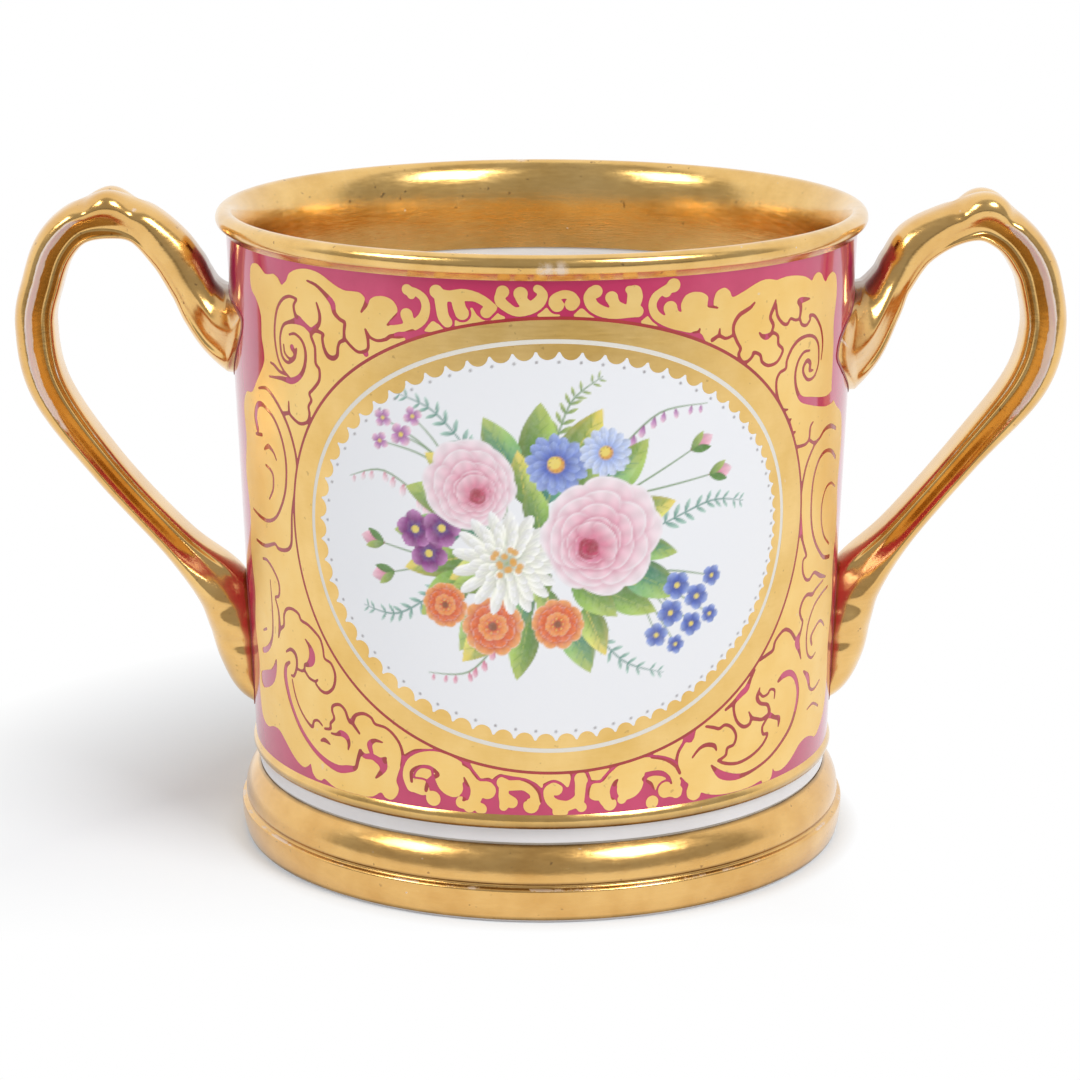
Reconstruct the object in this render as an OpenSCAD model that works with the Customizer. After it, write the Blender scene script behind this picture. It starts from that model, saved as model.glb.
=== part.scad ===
// Two-handled porcelain loving cup: straight tapered body, rolled gilt lip, stepped gilt foot,
// claret ground with an oval reserve on each face, and two tall gilt loop handles.
// Millimetres, +Z up, origin on the table under the middle of the foot.

/* [Cup] */
// Height from the table to the top of the lip
cup_h = 126.6; // [105:0.1:150]
// Outside diameter of the wall just under the lip
wall_top_d = 123.2; // [108:0.1:140]
// Outside diameter of the wall just over the bead
wall_base_d = 115.9; // [104:0.1:135]
// Thickness of the wall
wall_t = 3.2; // [2.2:0.1:5]
// Thickness of the floor
floor_t = 4.6; // [3:0.1:8]
// Radius of the corner between wall and floor, inside
inner_corner_r = 6; // [3:0.5:10]

/* [Lip] */
// Thickness of the rolled lip
lip_t = 3.8; // [3:0.1:5]
// How far the lip stands out from the wall
lip_overhang = 2; // [1.2:0.1:3]
// Height of the lip over the end of the straight wall
lip_h = 4.7; // [4.2:0.1:7]
// Depth of the flare inside the lip
lip_flare = 8.6; // [6:0.1:14]

/* [Foot] */
// Height of the foot
foot_h = 14.4; // [11:0.1:20]
// How far the foot stands out from the base of the wall
foot_overhang = 3.1; // [1.5:0.1:6]
// How far the resting edge is drawn in from the widest part of the foot
foot_taper = 1.1; // [0.5:0.1:2]
// Height of the plain plinth under the groove
plinth_h = 7.2; // [5:0.1:9]
// Depth of the groove over the plinth
groove_depth = 0.8; // [0.4:0.1:1.5]
// Height from the groove to the start of the ovolo
groove_h = 1; // [0.6:0.1:1.6]
// Swell of the ovolo over the groove
ovolo_bulge = 0.6; // [0.2:0.1:1.2]
// Width of the ring that the cup stands on
rest_w = 6; // [4:0.1:9]
// How far the foot ring thickens inwards towards its top
foot_lean = 4; // [1:0.1:6]

/* [Base of the wall] */
// Height of the plain white cove over the foot
cove_h = 3.4; // [2:0.1:6]
// How far the cove is drawn in from the wall
cove_depth = 0.7; // [0.4:0.1:1.5]
// Height of the gilt bead over the cove
bead_h = 2.4; // [1.6:0.1:4]
// How far the bead stands out from the wall
bead_out = 0.6; // [0.3:0.1:1.2]

/* [Handles] */
// How far the middle of the handle stands out from the wall at its outer bend
handle_reach = 38.4; // [32:0.1:46]
// Height of the middle of the arch over the upper joint
handle_rise = 25.6; // [21:0.1:30]
// Depth of the upper joint's middle below the lip
upper_joint_drop = 27.6; // [24:0.1:34]
// Height of the lower leaf's tip over the table
lower_tip_h = 25; // [22:0.1:34]
// Thickness of the handle, seen from the side, level with the upper joint
handle_t = 8.6; // [7:0.1:11]
// How much thicker the handle is at the top of its arch
handle_swell = 1.4; // [0:0.1:2.5]
// Width of the handle, seen from its outer edge
handle_w = 12.6; // [9:0.1:15]
// Depth of the groove along each side of the handle, as a share of its width
handle_groove = 0.1; // [0:0.01:0.15]
// Width of the leaf at the upper joint
upper_leaf_w = 38; // [28:0.5:44]
// Height of the leaf at the upper joint
upper_leaf_h = 18; // [15:0.5:22]
// Width of the leaf at the lower joint
lower_leaf_w = 19; // [15:0.5:26]
// Thickness of the leaf at the lower joint
lower_leaf_t = 12; // [9.5:0.1:14]

/* [Slip joints] */
// Thickness of the slip under a handle and under the body
slip_t = 0.5; // [0.3:0.05:1]
// How far the slip spreads past the edge of a leaf
slip_margin = 1; // [0.5:0.1:2]

/* [Decoration] */
// Thickness of the glaze, enamel and gilding
coat = 0.3; // [0.2:0.05:0.6]
// Width of the gilt oval frame, over its outer edge
oval_w = 96.8; // [70:0.1:106]
// Height of the gilt oval frame, over its outer edge
oval_h = 86.6; // [60:0.1:94]
// Width of the gilt band of the oval frame
frame_w = 7.4; // [3:0.1:12]
// Depth of the gilding inside the cup, from the top of the lip
gilt_depth = 18.2; // [14:0.1:40]
// Height over the table where the gilding of the foot stops
foot_bare_h = 0.6; // [0.3:0.1:2]

/* [Hidden] */

$fn = 96;

porcelain_colour = [0.95, 0.94, 0.93];
slip_colour = [0.88, 0.84, 0.78];
gilt_colour = [0.85, 0.64, 0.29];
claret_colour = [0.72, 0.14, 0.30];

// Heights over the table
body_z = foot_h + slip_t;
floor_z = body_z + floor_t;
bead_z = foot_h + cove_h;
ground_z = bead_z + bead_h;
wall_end_z = cup_h - lip_h;
flare_z = cup_h - lip_flare;
gilt_end_z = cup_h - gilt_depth;
oval_z = (ground_z + wall_end_z) / 2;
upper_joint_z = cup_h - upper_joint_drop;
handle_drop = upper_joint_z - lower_tip_h;

// Radii
wall_base_r = wall_base_d / 2;
wall_top_r = wall_top_d / 2;
cove_r = wall_base_r - cove_depth;
foot_r = wall_base_r + foot_overhang;
rest_r = foot_r - foot_taper;
rest_inner_r = rest_r - rest_w;
foot_inner_r = rest_inner_r - foot_lean;

// Angle between the points of an arc in an outline
arc_step = 10;
// Points of an ellipse
ellipse_points = 72;
// Length of a cutting prism, past every wall
cut_length = wall_top_d;

// Outer and inner radius of the wall at a height, on its straight taper
function wall_r(z) = wall_base_r + (wall_top_r - wall_base_r) * (z - ground_z) / (wall_end_z - ground_z);
function inner_r(z) = wall_r(z) - wall_t;

function arc(centre, r, from, to) = let (n = ceil(abs(to - from) / arc_step))
    [for (i = [0:n]) let (a = from + (to - from) * i / n) centre + r * [cos(a), sin(a)]];

function reversed(points) = [for (i = [len(points) - 1:-1:0]) points[i]];

function ellipse(w, h) = [for (i = [0:ellipse_points - 1])
    let (a = 360 * i / ellipse_points) [w / 2 * cos(a), h / 2 * sin(a)]];

// A bowed line from a to b, swelling by bulge at its middle, to the right of its direction
function bowed(a, b, bulge) = let (d = (b - a) / norm(b - a), n = 10)
    [for (i = [0:n]) let (t = i / n) a + (b - a) * t + 4 * bulge * t * (1 - t) * [d[1], -d[0]]];

// The lip from the end of the straight wall, over the roll, to the end of the inside gilding,
// lying a depth under the finished surface
function lip_path(depth) = concat(
    [[wall_r(wall_end_z) - depth, wall_end_z]],
    arc([wall_top_r + lip_overhang - lip_t / 2, cup_h - lip_t / 2], lip_t / 2 - depth, -60, 160),
    [[inner_r(flare_z) + depth, flare_z], [inner_r(gilt_end_z) + depth, gilt_end_z]]);

// The foot's outer face from the height where its gilding starts up to the cove
function foot_path(depth) = concat(
    [[rest_r - depth + foot_bare_h / 2, foot_bare_h], [foot_r - depth, plinth_h * 0.7]],
    [[foot_r - depth, plinth_h - groove_h], [foot_r - groove_depth - depth, plinth_h]],
    bowed([foot_r - groove_depth / 2 - depth, plinth_h + groove_h], [cove_r - depth, foot_h], ovolo_bulge));

module turned(outline) { rotate_extrude() polygon(outline); }

// The coat of colour on the outside of the straight wall
module wall_coat() {
    turned([[wall_r(ground_z) - coat, ground_z], [wall_r(ground_z), ground_z],
            [wall_r(wall_end_z), wall_end_z], [wall_r(wall_end_z) - coat, wall_end_z]]);
}

// Oval prism through the face on the side that looks along angle, 0 for the front
module oval_prism(w, h, angle) {
    rotate([0, 0, angle]) translate([0, 0, oval_z]) rotate([90, 0, 0])
        linear_extrude(cut_length) polygon(ellipse(w, h));
}

// Oval prism along the side of a handle, 0 for the right and 180 for the left
module joint_prism(w, low_z, high_z, angle) {
    rotate([0, 0, angle]) translate([0, 0, (low_z + high_z) / 2]) rotate([90, 0, 90])
        linear_extrude(cut_length) polygon(ellipse(w, high_z - low_z));
}

// Handle route, from inside the wall at the upper joint over the arch to the lower tip:
// [distance out as a share of the reach, height as a share of the rise or drop from the upper joint,
//  share of the upper leaf, share of the lower leaf]
handle_route = [
    [-0.18, 0.00, 1.00, 0.00],
    [ 0.00, 0.01, 1.00, 0.00],
    [ 0.08, 0.10, 0.45, 0.00],
    [ 0.16, 0.29, 0.10, 0.00],
    [ 0.28, 0.60, 0.00, 0.00],
    [ 0.47, 0.91, 0.00, 0.00],
    [ 0.62, 1.00, 0.00, 0.00],
    [ 0.77, 0.86, 0.00, 0.00],
    [ 0.94, 0.48, 0.00, 0.00],
    [ 1.00, 0.11, 0.00, 0.00],
    [ 0.94, -0.12, 0.00, 0.00],
    [ 0.68, -0.33, 0.00, 0.00],
    [ 0.34, -0.54, 0.00, 0.15],
    [ 0.14, -0.66, 0.00, 0.80],
    [ 0.06, -0.75, 0.00, 1.00],
    [ 0.01, -0.85, 0.00, 0.95],
    [-0.03, -0.93, 0.00, 0.75],
    [-0.14, -0.99, 0.00, 0.25]
];
route_steps = 5;
ring_points = 32;
// Where the side groove lies round the section, and how wide it is, in degrees from the outer edge
groove_angle = 104;
groove_spread = 15;

function spline(a, b, c, d, t) = 0.5 * (2 * b + (c - a) * t + (2 * a - 5 * b + 4 * c - d) * t * t
    + (3 * b - a - 3 * c + d) * t * t * t);

// The route's knots joined by a smooth curve
function route_at(i, t) = let (last = len(handle_route) - 1)
    spline(handle_route[max(i - 1, 0)], handle_route[i], handle_route[i + 1],
           handle_route[min(i + 2, last)], t);
handle_knots = concat(
    [for (i = [0:len(handle_route) - 2], k = [0:route_steps - 1]) route_at(i, k / route_steps)],
    [handle_route[len(handle_route) - 1]]);

function knot_z(k) = upper_joint_z + k[1] * (k[1] > 0 ? handle_rise : handle_drop);
function knot_centre(k) = [wall_r(knot_z(k)) + k[0] * handle_reach, knot_z(k)];
handle_centres = [for (k = handle_knots) knot_centre(k)];

// Half thickness and half width of the handle at a knot
function leaf_mix(k, plain, upper, lower) = let (u = min(1, max(0, k[2])), l = min(1, max(0, k[3])))
    (plain * (1 - u) * (1 - l) + upper * u + lower * l) / 2;
function half_t(k) = leaf_mix(k, handle_t + handle_swell * max(-0.6, k[1]), upper_leaf_h, lower_leaf_t);
function half_w(k) = leaf_mix(k, handle_w, upper_leaf_w, lower_leaf_w);

function groove_share(k, a) = let (off = abs(a > 180 ? 360 - a : a) - groove_angle)
    1 - handle_groove * (1 - min(1, max(0, k[2] + k[3]))) * exp(-pow(off / groove_spread, 2));

function along(i) = let (last = len(handle_centres) - 1,
    d = handle_centres[min(i + 1, last)] - handle_centres[max(i - 1, 0)]) d / norm(d);

// One ring of the handle: out is the direction away from the middle of the loop
function handle_ring(i) = let (k = handle_knots[i], c = handle_centres[i], d = along(i), out = [-d[1], d[0]])
    [for (j = [0:ring_points - 1]) let (a = 360 * j / ring_points, g = groove_share(k, a),
        p = c + out * half_t(k) * g * cos(a)) [p[0], half_w(k) * g * sin(a), p[1]]];

handle_points = [for (i = [0:len(handle_knots) - 1]) each handle_ring(i)];

function ring_quad(i, j) = let (a = i * ring_points + j, b = i * ring_points + (j + 1) % ring_points)
    [[a, a + ring_points, b], [b, a + ring_points, b + ring_points]];
handle_faces = concat(
    [[for (j = [0:ring_points - 1]) j]],
    [for (i = [0:len(handle_knots) - 2], j = [0:ring_points - 1]) each ring_quad(i, j)],
    [[for (j = [ring_points - 1:-1:0]) (len(handle_knots) - 1) * ring_points + j]]);

// The handle as it leaves its mould, running on past the face of the wall
module handle_blank() { polyhedron(handle_points, handle_faces, convexity = 8); }

// Everything inside the face that a handle is luted to
module joint_seat() {
    turned([[0, body_z], [wall_r(body_z) - coat + slip_t, body_z],
            [wall_r(wall_end_z) - coat + slip_t, wall_end_z], [0, wall_end_z]]);
}

// The slip between the bare wall and the handle
module joint_slip() {
    difference() {
        joint_seat();
        turned([[0, body_z - 1], [wall_r(body_z - 1) - coat, body_z - 1],
                [wall_r(wall_end_z + 1) - coat, wall_end_z + 1], [0, wall_end_z + 1]]);
    }
}

upper_leaf_low_z = upper_joint_z - upper_leaf_h / 2 - slip_margin;
upper_leaf_high_z = upper_joint_z + upper_leaf_h / 2 + slip_margin;
lower_leaf_low_z = lower_tip_h - slip_margin;
// The lower leaf leaves the wall a little over its widest knot
lower_leaf_high_z = upper_joint_z - 0.58 * handle_drop + slip_margin;

module upper_joint_prism(angle) {
    joint_prism(upper_leaf_w + 2 * slip_margin, upper_leaf_low_z, upper_leaf_high_z, angle);
}

module lower_joint_prism(angle) {
    joint_prism(lower_leaf_w + 2 * slip_margin, lower_leaf_low_z, lower_leaf_high_z, angle);
}

module handle(angle) {
    color(gilt_colour) rotate([0, 0, angle]) difference() { handle_blank(); joint_seat(); }
}

module upper_slip(angle) {
    color(slip_colour) intersection() { joint_slip(); upper_joint_prism(angle); }
}

module lower_slip(angle) {
    color(slip_colour) intersection() { joint_slip(); lower_joint_prism(angle); }
}

module reserve(angle) {
    color(porcelain_colour)
        intersection() { wall_coat(); oval_prism(oval_w - 2 * frame_w, oval_h - 2 * frame_w, angle); }
}

module frame(angle) {
    color(gilt_colour) difference() {
        intersection() { wall_coat(); oval_prism(oval_w, oval_h, angle); }
        oval_prism(oval_w - 2 * frame_w, oval_h - 2 * frame_w, angle);
    }
}

module body() {
    color(porcelain_colour) turned(concat(
        [[0, body_z], [cove_r, body_z], [wall_r(bead_z) - coat, bead_z]],
        lip_path(coat),
        [[inner_r(gilt_end_z), gilt_end_z]],
        arc([inner_r(floor_z + inner_corner_r) - inner_corner_r, floor_z + inner_corner_r],
            inner_corner_r, 0, -90),
        [[0, floor_z]]));
}

module foot_ring() {
    color(porcelain_colour) turned(concat(
        [[rest_inner_r, 0], [rest_r - coat, 0]],
        foot_path(coat),
        [[foot_inner_r, foot_h]]));
}

module foot_slip() {
    color(slip_colour) turned([[foot_inner_r, foot_h], [cove_r - coat, foot_h],
                               [cove_r - coat, body_z], [foot_inner_r, body_z]]);
}

module handle_left() { handle(180); }

module handle_right() { handle(0); }

module slip_left_upper() { upper_slip(180); }

module slip_left_lower() { lower_slip(180); }

module slip_right_upper() { upper_slip(0); }

module slip_right_lower() { lower_slip(0); }

module ground_enamel() {
    color(claret_colour) difference() {
        wall_coat();
        for (angle = [0, 180]) {
            oval_prism(oval_w, oval_h, angle);
            upper_joint_prism(angle);
            lower_joint_prism(angle);
        }
    }
}

module front_reserve() { reserve(0); }

module back_reserve() { reserve(180); }

module front_frame() { frame(0); }

module back_frame() { frame(180); }

module rim_gilding() { color(gilt_colour) turned(concat(lip_path(0), reversed(lip_path(coat)))); }

module base_bead() {
    color(gilt_colour) turned(concat(
        [[wall_r(bead_z) - coat, bead_z]],
        bowed([wall_r(bead_z), bead_z], [wall_r(ground_z), ground_z], bead_out),
        [[wall_r(ground_z) - coat, ground_z]]));
}

module foot_gilding() { color(gilt_colour) turned(concat(foot_path(0), reversed(foot_path(coat)))); }

body();
foot_ring();
foot_slip();
handle_left();
handle_right();
slip_left_upper();
slip_left_lower();
slip_right_upper();
slip_right_lower();
ground_enamel();
front_reserve();
back_reserve();
front_frame();
back_frame();
rim_gilding();
base_bead();
foot_gilding();
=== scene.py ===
import math
import random

import bmesh
import bpy
import numpy as np
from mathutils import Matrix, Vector
from mathutils.geometry import delaunay_2d_cdt


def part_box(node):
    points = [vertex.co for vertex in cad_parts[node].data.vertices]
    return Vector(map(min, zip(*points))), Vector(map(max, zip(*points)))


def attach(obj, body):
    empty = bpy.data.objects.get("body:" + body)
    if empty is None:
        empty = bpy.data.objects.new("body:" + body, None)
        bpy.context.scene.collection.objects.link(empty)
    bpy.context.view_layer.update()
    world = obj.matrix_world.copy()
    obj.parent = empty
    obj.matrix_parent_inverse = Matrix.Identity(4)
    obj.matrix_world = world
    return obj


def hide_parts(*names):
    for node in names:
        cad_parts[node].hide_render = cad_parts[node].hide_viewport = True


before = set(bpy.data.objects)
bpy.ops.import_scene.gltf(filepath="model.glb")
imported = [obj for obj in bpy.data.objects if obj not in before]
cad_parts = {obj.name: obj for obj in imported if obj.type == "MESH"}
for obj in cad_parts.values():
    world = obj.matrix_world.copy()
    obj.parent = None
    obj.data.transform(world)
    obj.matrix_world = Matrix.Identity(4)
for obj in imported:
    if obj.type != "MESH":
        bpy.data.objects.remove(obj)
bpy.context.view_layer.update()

# Lengths below are millimetres, in the frame of the solids, and become metres when a mesh is made
MM = 0.001

# Camera: distance and height, pitch and turn in degrees, lens and sensor, and sideways shift of the lens
CAMERA_DISTANCE = 612.2
CAMERA_HEIGHT = 219.0
CAMERA_PITCH = 14.7
CAMERA_TURN = 1.3
CAMERA_LENS = 105.0
CAMERA_SENSOR = 36.0
CAMERA_SHIFT = -0.0016


def ring_radius(node, level):
    """Largest radius of a turned solid at a height."""
    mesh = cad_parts[node].data
    flat = np.zeros(len(mesh.vertices) * 3)
    mesh.vertices.foreach_get("co", flat)
    points = flat.reshape(-1, 3) / MM
    near = np.abs(points[:, 2] - level) < 0.05
    return float(np.hypot(points[near, 0], points[near, 1]).max())


def low_and_high(node):
    """Heights of the lowest and the highest point of a solid."""
    low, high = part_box(node)
    return float(low[2]) / MM, float(high[2]) / MM


# Sizes taken from the solids
GROUND_Z, WALL_END_Z = low_and_high("ground_enamel")
WALL_BASE_R = ring_radius("ground_enamel", GROUND_Z)
WALL_TOP_R = ring_radius("ground_enamel", WALL_END_Z)
GILT_END_Z, CUP_H = low_and_high("rim_gilding")
LIP_R = float(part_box("rim_gilding")[1][0]) / MM
FOOT_H = low_and_high("foot_gilding")[1]
FOOT_R = float(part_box("foot_gilding")[1][0]) / MM
BODY_Z = low_and_high("body")[0]
BEAD_Z = low_and_high("base_bead")[0]
COVE_R = ring_radius("body", BODY_Z)
REST_R = ring_radius("foot_ring", 0.0)

# Thicknesses of wall, floor, lip and coats, and the radius between wall and floor
WALL_T = 4.2
FLOOR_T = 4.6
LIP_T = 3.8
COAT = 0.3
CORNER_R = 6.0
# Lean of the flared inside below the roll, in degrees, how fast it fades, and how deep it goes
FLARE_LEAN = 49.0
WALL_LEAN = 3.0
FLARE_FADE = 3.0
FLARE_DEPTH = 12.0
FLARE_STEP = 0.3
# Foot: width of the ring it rests on, how far its inside leans in, height of the bare strip at the bottom,
# reach and height of the toe, height and bulge of the plinth
REST_W = 6.0
FOOT_LEAN = 4.0
FOOT_BARE_H = 0.6
TOE_OUT = 0.5
TOE_H = 1.4
PLINTH_H = 7.2
PLINTH_BULGE = 0.15
# Round edge of the plinth, the groove over it, the swelling ovolo above and the hollow under the bead
EDGE_R = 0.5
EDGE_DROP = 0.9
FACE_DROP = 1.6
GROOVE_R = 0.45
GROOVE_IN = 0.62
GROOVE_RISE = 0.15
OVOLO_IN = 0.85
OVOLO_RISE = 0.6
OVOLO_BULGE = 0.9
COVE_HOLLOW = 0.25
# How far the bead stands out; its gilding reaches a little over the lower end of the ground
BEAD_OUT = 0.6
BEAD_TOP = GROUND_Z + 0.4

LATHE_SEGMENTS = 288
# Radius at which lengths round the wall are measured
ARC_R = 59.8


def wall_r(z):
    """Radius of the outer wall at a height."""
    return WALL_BASE_R + (WALL_TOP_R - WALL_BASE_R) * (z - GROUND_Z) / (WALL_END_Z - GROUND_Z)


WALL_TILT = math.atan2(WALL_TOP_R - WALL_BASE_R, WALL_END_Z - GROUND_Z)


# Mesh helpers

def place_object(name, data):
    """A new object in the scene."""
    item = bpy.data.objects.new(name, data)
    bpy.context.scene.collection.objects.link(item)
    return item


def colour_layer(piece, name, colours):
    """Keeps rows of colour on the first points of a piece; what the rows leave open is one."""
    rows = np.ones((len(piece.data.vertices), 4))
    rows[:len(colours), :colours.shape[1]] = colours
    layer = piece.data.color_attributes.new(name, "FLOAT_COLOR", "POINT")
    layer.data.foreach_set("color", rows.ravel())


def new_piece(name, points, faces, material, nodes=(), sharp=40.0, outward=True):
    """A mesh piece that rides on the cup; points in millimetres."""
    mesh = bpy.data.meshes.new(name)
    mesh.from_pydata((np.asarray(points) * MM).tolist(), [], faces)
    if outward:
        work = bmesh.new()
        work.from_mesh(mesh)
        bmesh.ops.recalc_face_normals(work, faces=work.faces)
        work.to_mesh(mesh)
        work.free()
    mesh.polygons.foreach_set("use_smooth", [True] * len(mesh.polygons))
    if sharp:
        mesh.set_sharp_from_angle(angle=math.radians(sharp))
    mesh.update()
    piece = place_object(name, mesh)
    mesh.materials.append(material)
    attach(piece, "root")
    if nodes:
        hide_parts(*nodes)
    return piece


def lathe(name, outline, material, nodes):
    """A closed solid turned from an outline of (radius, height) points."""
    points = []
    rings = []
    angles = np.arange(LATHE_SEGMENTS) * 2 * math.pi / LATHE_SEGMENTS
    for radius, height in outline:
        start = len(points)
        if radius < 1e-6:
            points.append((0.0, 0.0, height))
            rings.append([start] * LATHE_SEGMENTS)
            continue
        for angle in angles:
            points.append((radius * math.cos(angle), radius * math.sin(angle), height))
        rings.append(list(range(start, start + LATHE_SEGMENTS)))
    faces = []
    for low, high in zip(rings, rings[1:] + rings[:1]):
        if low[0] == low[1] and high[0] == high[1]:
            continue
        for k in range(LATHE_SEGMENTS):
            n = (k + 1) % LATHE_SEGMENTS
            corners = [low[k], low[n], high[n], high[k]]
            faces.append(tuple(dict.fromkeys(corners)))
    new_piece(name, points, faces, material, nodes)


def arc(centre, radius, start, end, steps):
    """Points of an arc in an outline, angles in degrees."""
    angles = np.radians(np.linspace(start, end, steps + 1))
    return [(centre[0] + radius * math.cos(a), centre[1] + radius * math.sin(a)) for a in angles]


def bowed(a, b, bulge, steps):
    """A line from a to b that swells by bulge at its middle, to the right of its direction."""
    a = np.array(a)
    b = np.array(b)
    along = (b - a) / np.linalg.norm(b - a)
    side = np.array((along[1], -along[0]))
    shares = np.linspace(0, 1, steps + 1)
    return [tuple(a + (b - a) * t + 4 * bulge * t * (1 - t) * side) for t in shares]


def catmull(knots, steps):
    """A smooth curve through rows of numbers, with a number of steps between two rows."""
    rows = np.asarray(knots, float)
    padded = np.vstack([rows[:1], rows, rows[-1:]])
    out = []
    for i in range(len(rows) - 1):
        a, b, c, d = padded[i:i + 4]
        for t in np.arange(steps) / steps:
            out.append(0.5 * (2 * b + (c - a) * t + (2 * a - 5 * b + 4 * c - d) * t * t
                              + (3 * b - a - 3 * c + d) * t ** 3))
    out.append(rows[-1])
    return np.array(out)


def hump(values, middle, spread):
    """One at a middle, falling softly to nothing on both sides."""
    return np.exp(-((values - middle) / spread) ** 2)


# Materials

class Nodes:
    """Makes, sets and links the nodes of one material or world."""

    def __init__(self, tree):
        self.tree = tree

    def feed(self, node, values):
        """Links outputs to a node's inputs, or sets the inputs' own numbers and colours."""
        for name, value in values.items():
            socket = node.inputs[name]
            if isinstance(value, bpy.types.NodeSocket):
                self.tree.links.new(value, socket)
            elif socket.type == "RGBA":
                socket.default_value = (*value, 1.0)
            else:
                socket.default_value = value

    def add(self, kind, values=None, **settings):
        """Outputs of a new node with some of its settings and inputs given."""
        node = self.tree.nodes.new("ShaderNode" + kind)
        for name, value in settings.items():
            setattr(node, name, value)
        self.feed(node, values or {})
        return node.outputs

    def noise(self, place, scale, detail, rough=0.55, stretch=None):
        """Cloudy noise, fine for a large scale, and drawn out by a stretch."""
        if stretch:
            place = self.add("Mapping", {"Vector": place, "Scale": stretch})["Vector"]
        values = {"Vector": place, "Scale": scale, "Detail": detail, "Roughness": rough}
        return self.add("TexNoise", values)["Fac"]

    def span(self, value, low, high, out_low=0.0, out_high=1.0):
        """A value's place between low and high, as a number from out_low to out_high."""
        ends = {"From Min": low, "From Max": high, "To Min": out_low, "To Max": out_high}
        return self.add("MapRange", {"Value": value, **ends})["Result"]

    def math(self, operation, first, second):
        """The result of one operation on two numbers."""
        return self.add("Math", {0: first, 1: second}, operation=operation)[0]

    def times(self, first, second):
        """A product."""
        return self.math("MULTIPLY", first, second)

    def largest(self, first, *others):
        """The largest of some numbers."""
        for other in others:
            first = self.math("MAXIMUM", first, other)
        return first

    def mix(self, factor, first, second):
        """A colour between two others; a mix node keeps its colours on inputs 6 and 7."""
        return self.add("Mix", {0: factor, 6: first, 7: second}, data_type="RGBA")[2]

    def bump(self, height, strength, distance, before=None):
        """Small unevenness of a surface, on top of another if one is given."""
        values = {"Height": height, "Strength": strength, "Distance": distance * MM}
        if before:
            values["Normal"] = before
        return self.add("Bump", values)["Normal"]

    def layer(self, name):
        """Colours held on the points of the mesh."""
        return self.add("VertexColor", layer_name=name)["Color"]

    def near_level(self, height, level, width):
        """One at a height of the object, falling to nothing a width above and below it."""
        offset = self.math("ABSOLUTE", self.math("SUBTRACT", height, level * MM), 0.0)
        return self.span(offset, 0.0, width * MM, 1.0, 0.0)


def shader(name):
    """A new material with its nodes, its surface and the place on the object."""
    material = bpy.data.materials.new(name)
    material.use_nodes = True
    nodes = Nodes(material.node_tree)
    surface = material.node_tree.nodes["Principled BSDF"]
    return material, nodes, surface, nodes.add("TexCoord")["Object"]


# Colours on gilding: specks, painted shade in grooves and hollows, and the white where it is rubbed through
SPECK = (0.30, 0.16, 0.06)
GROOVE_SHADE_TONE = (0.20, 0.11, 0.03)
HOLLOW_SHADE_TONE = (0.13, 0.045, 0.018)
RUBBED = (0.80, 0.70, 0.66)
# Strength of the fine and the soft unevenness of gilding
BRUSH_GRAIN = 0.05
SOFT_GRAIN = 0.11


def gilt_material(name, tones, roughness, film=0.5, metal=1.0, specked=0.7, painted_shade_levels=(), worn_levels=(),
                  worn_spots=(), wear_shade_layer=None):
    """Gilding: brushed tone, soft clouds, rare specks, painted shade, and white where it is rubbed through.
    """
    material, nodes, surface, place = shader(name)
    height = nodes.add("SeparateXYZ", {0: place})["Z"]
    clouds = nodes.noise(place, 95.0, 5.0)
    brush = nodes.noise(place, 260.0, 3.0, 0.6, (1.0, 1.0, 6.0))
    patches = nodes.noise(place, 170.0, 5.0, 0.7)
    specks = nodes.noise(place, 780.0, 2.0, 0.5)
    flecks = nodes.noise(place, 430.0, 2.0, 0.5)
    tone = nodes.mix(nodes.span(clouds, 0.32, 0.66), *tones)
    tone = nodes.mix(0.22, tone, nodes.mix(nodes.span(brush, 0.3, 0.7), *tones))
    tone = nodes.mix(nodes.span(specks, 0.70, 0.76, 0.0, specked), tone, SPECK)
    # Painted shade: darker bands at the given heights, where grooves and edges fall in shade, broken up by
    # noise
    for level, width in painted_shade_levels:
        shade_patches = nodes.span(patches, 0.30, 0.60, 0.60, 0.95)
        tone = nodes.mix(nodes.times(nodes.near_level(height, level, width), shade_patches), tone, GROOVE_SHADE_TONE)
    rubbed = nodes.span(flecks, 0.765, 0.79, 0.0, specked)
    for level, width in worn_levels:
        line = nodes.times(nodes.near_level(height, level, width), nodes.span(patches, 0.48, 0.60))
        rubbed = nodes.largest(rubbed, nodes.span(line, 0.25, 0.7, 0.0, 0.5))
    for middle, reach in worn_spots:
        centre = [value * MM for value in middle]
        gap = nodes.add("VectorMath", {0: place, 1: centre}, operation="DISTANCE")["Value"]
        spot = nodes.times(nodes.span(gap, 0.0, reach * MM, 1.0, 0.0), nodes.span(patches, 0.42, 0.58))
        rubbed = nodes.largest(rubbed, nodes.span(spot, 0.1, 0.6, 0.0, 0.6))
    if wear_shade_layer:
        # The layer's red share is wear; its green share is painted shade in the hollow by a handle's arm
        shares = nodes.add("SeparateColor", {0: nodes.layer(wear_shade_layer)})
        tone = nodes.mix(shares["Green"], tone, HOLLOW_SHADE_TONE)
        amount = nodes.math("ADD", shares["Red"], nodes.span(patches, 0.3, 0.7, -0.20, 0.16))
        rubbed = nodes.largest(rubbed, nodes.span(amount, 0.46, 0.62, 0.0, 0.9))
    uneven = nodes.bump(brush, BRUSH_GRAIN, 0.4)
    nodes.feed(surface, {
        "Base Color": nodes.mix(rubbed, tone, RUBBED),
        "Metallic": nodes.span(rubbed, 0.0, 1.0, metal, 0.15),
        "Roughness": nodes.span(brush, 0.25, 0.75, *roughness),
        "Coat Weight": film,
        "Coat Roughness": 0.08,
        "Normal": nodes.bump(nodes.noise(place, 140.0, 3.0), SOFT_GRAIN, 0.6, uneven)})
    return material


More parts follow.
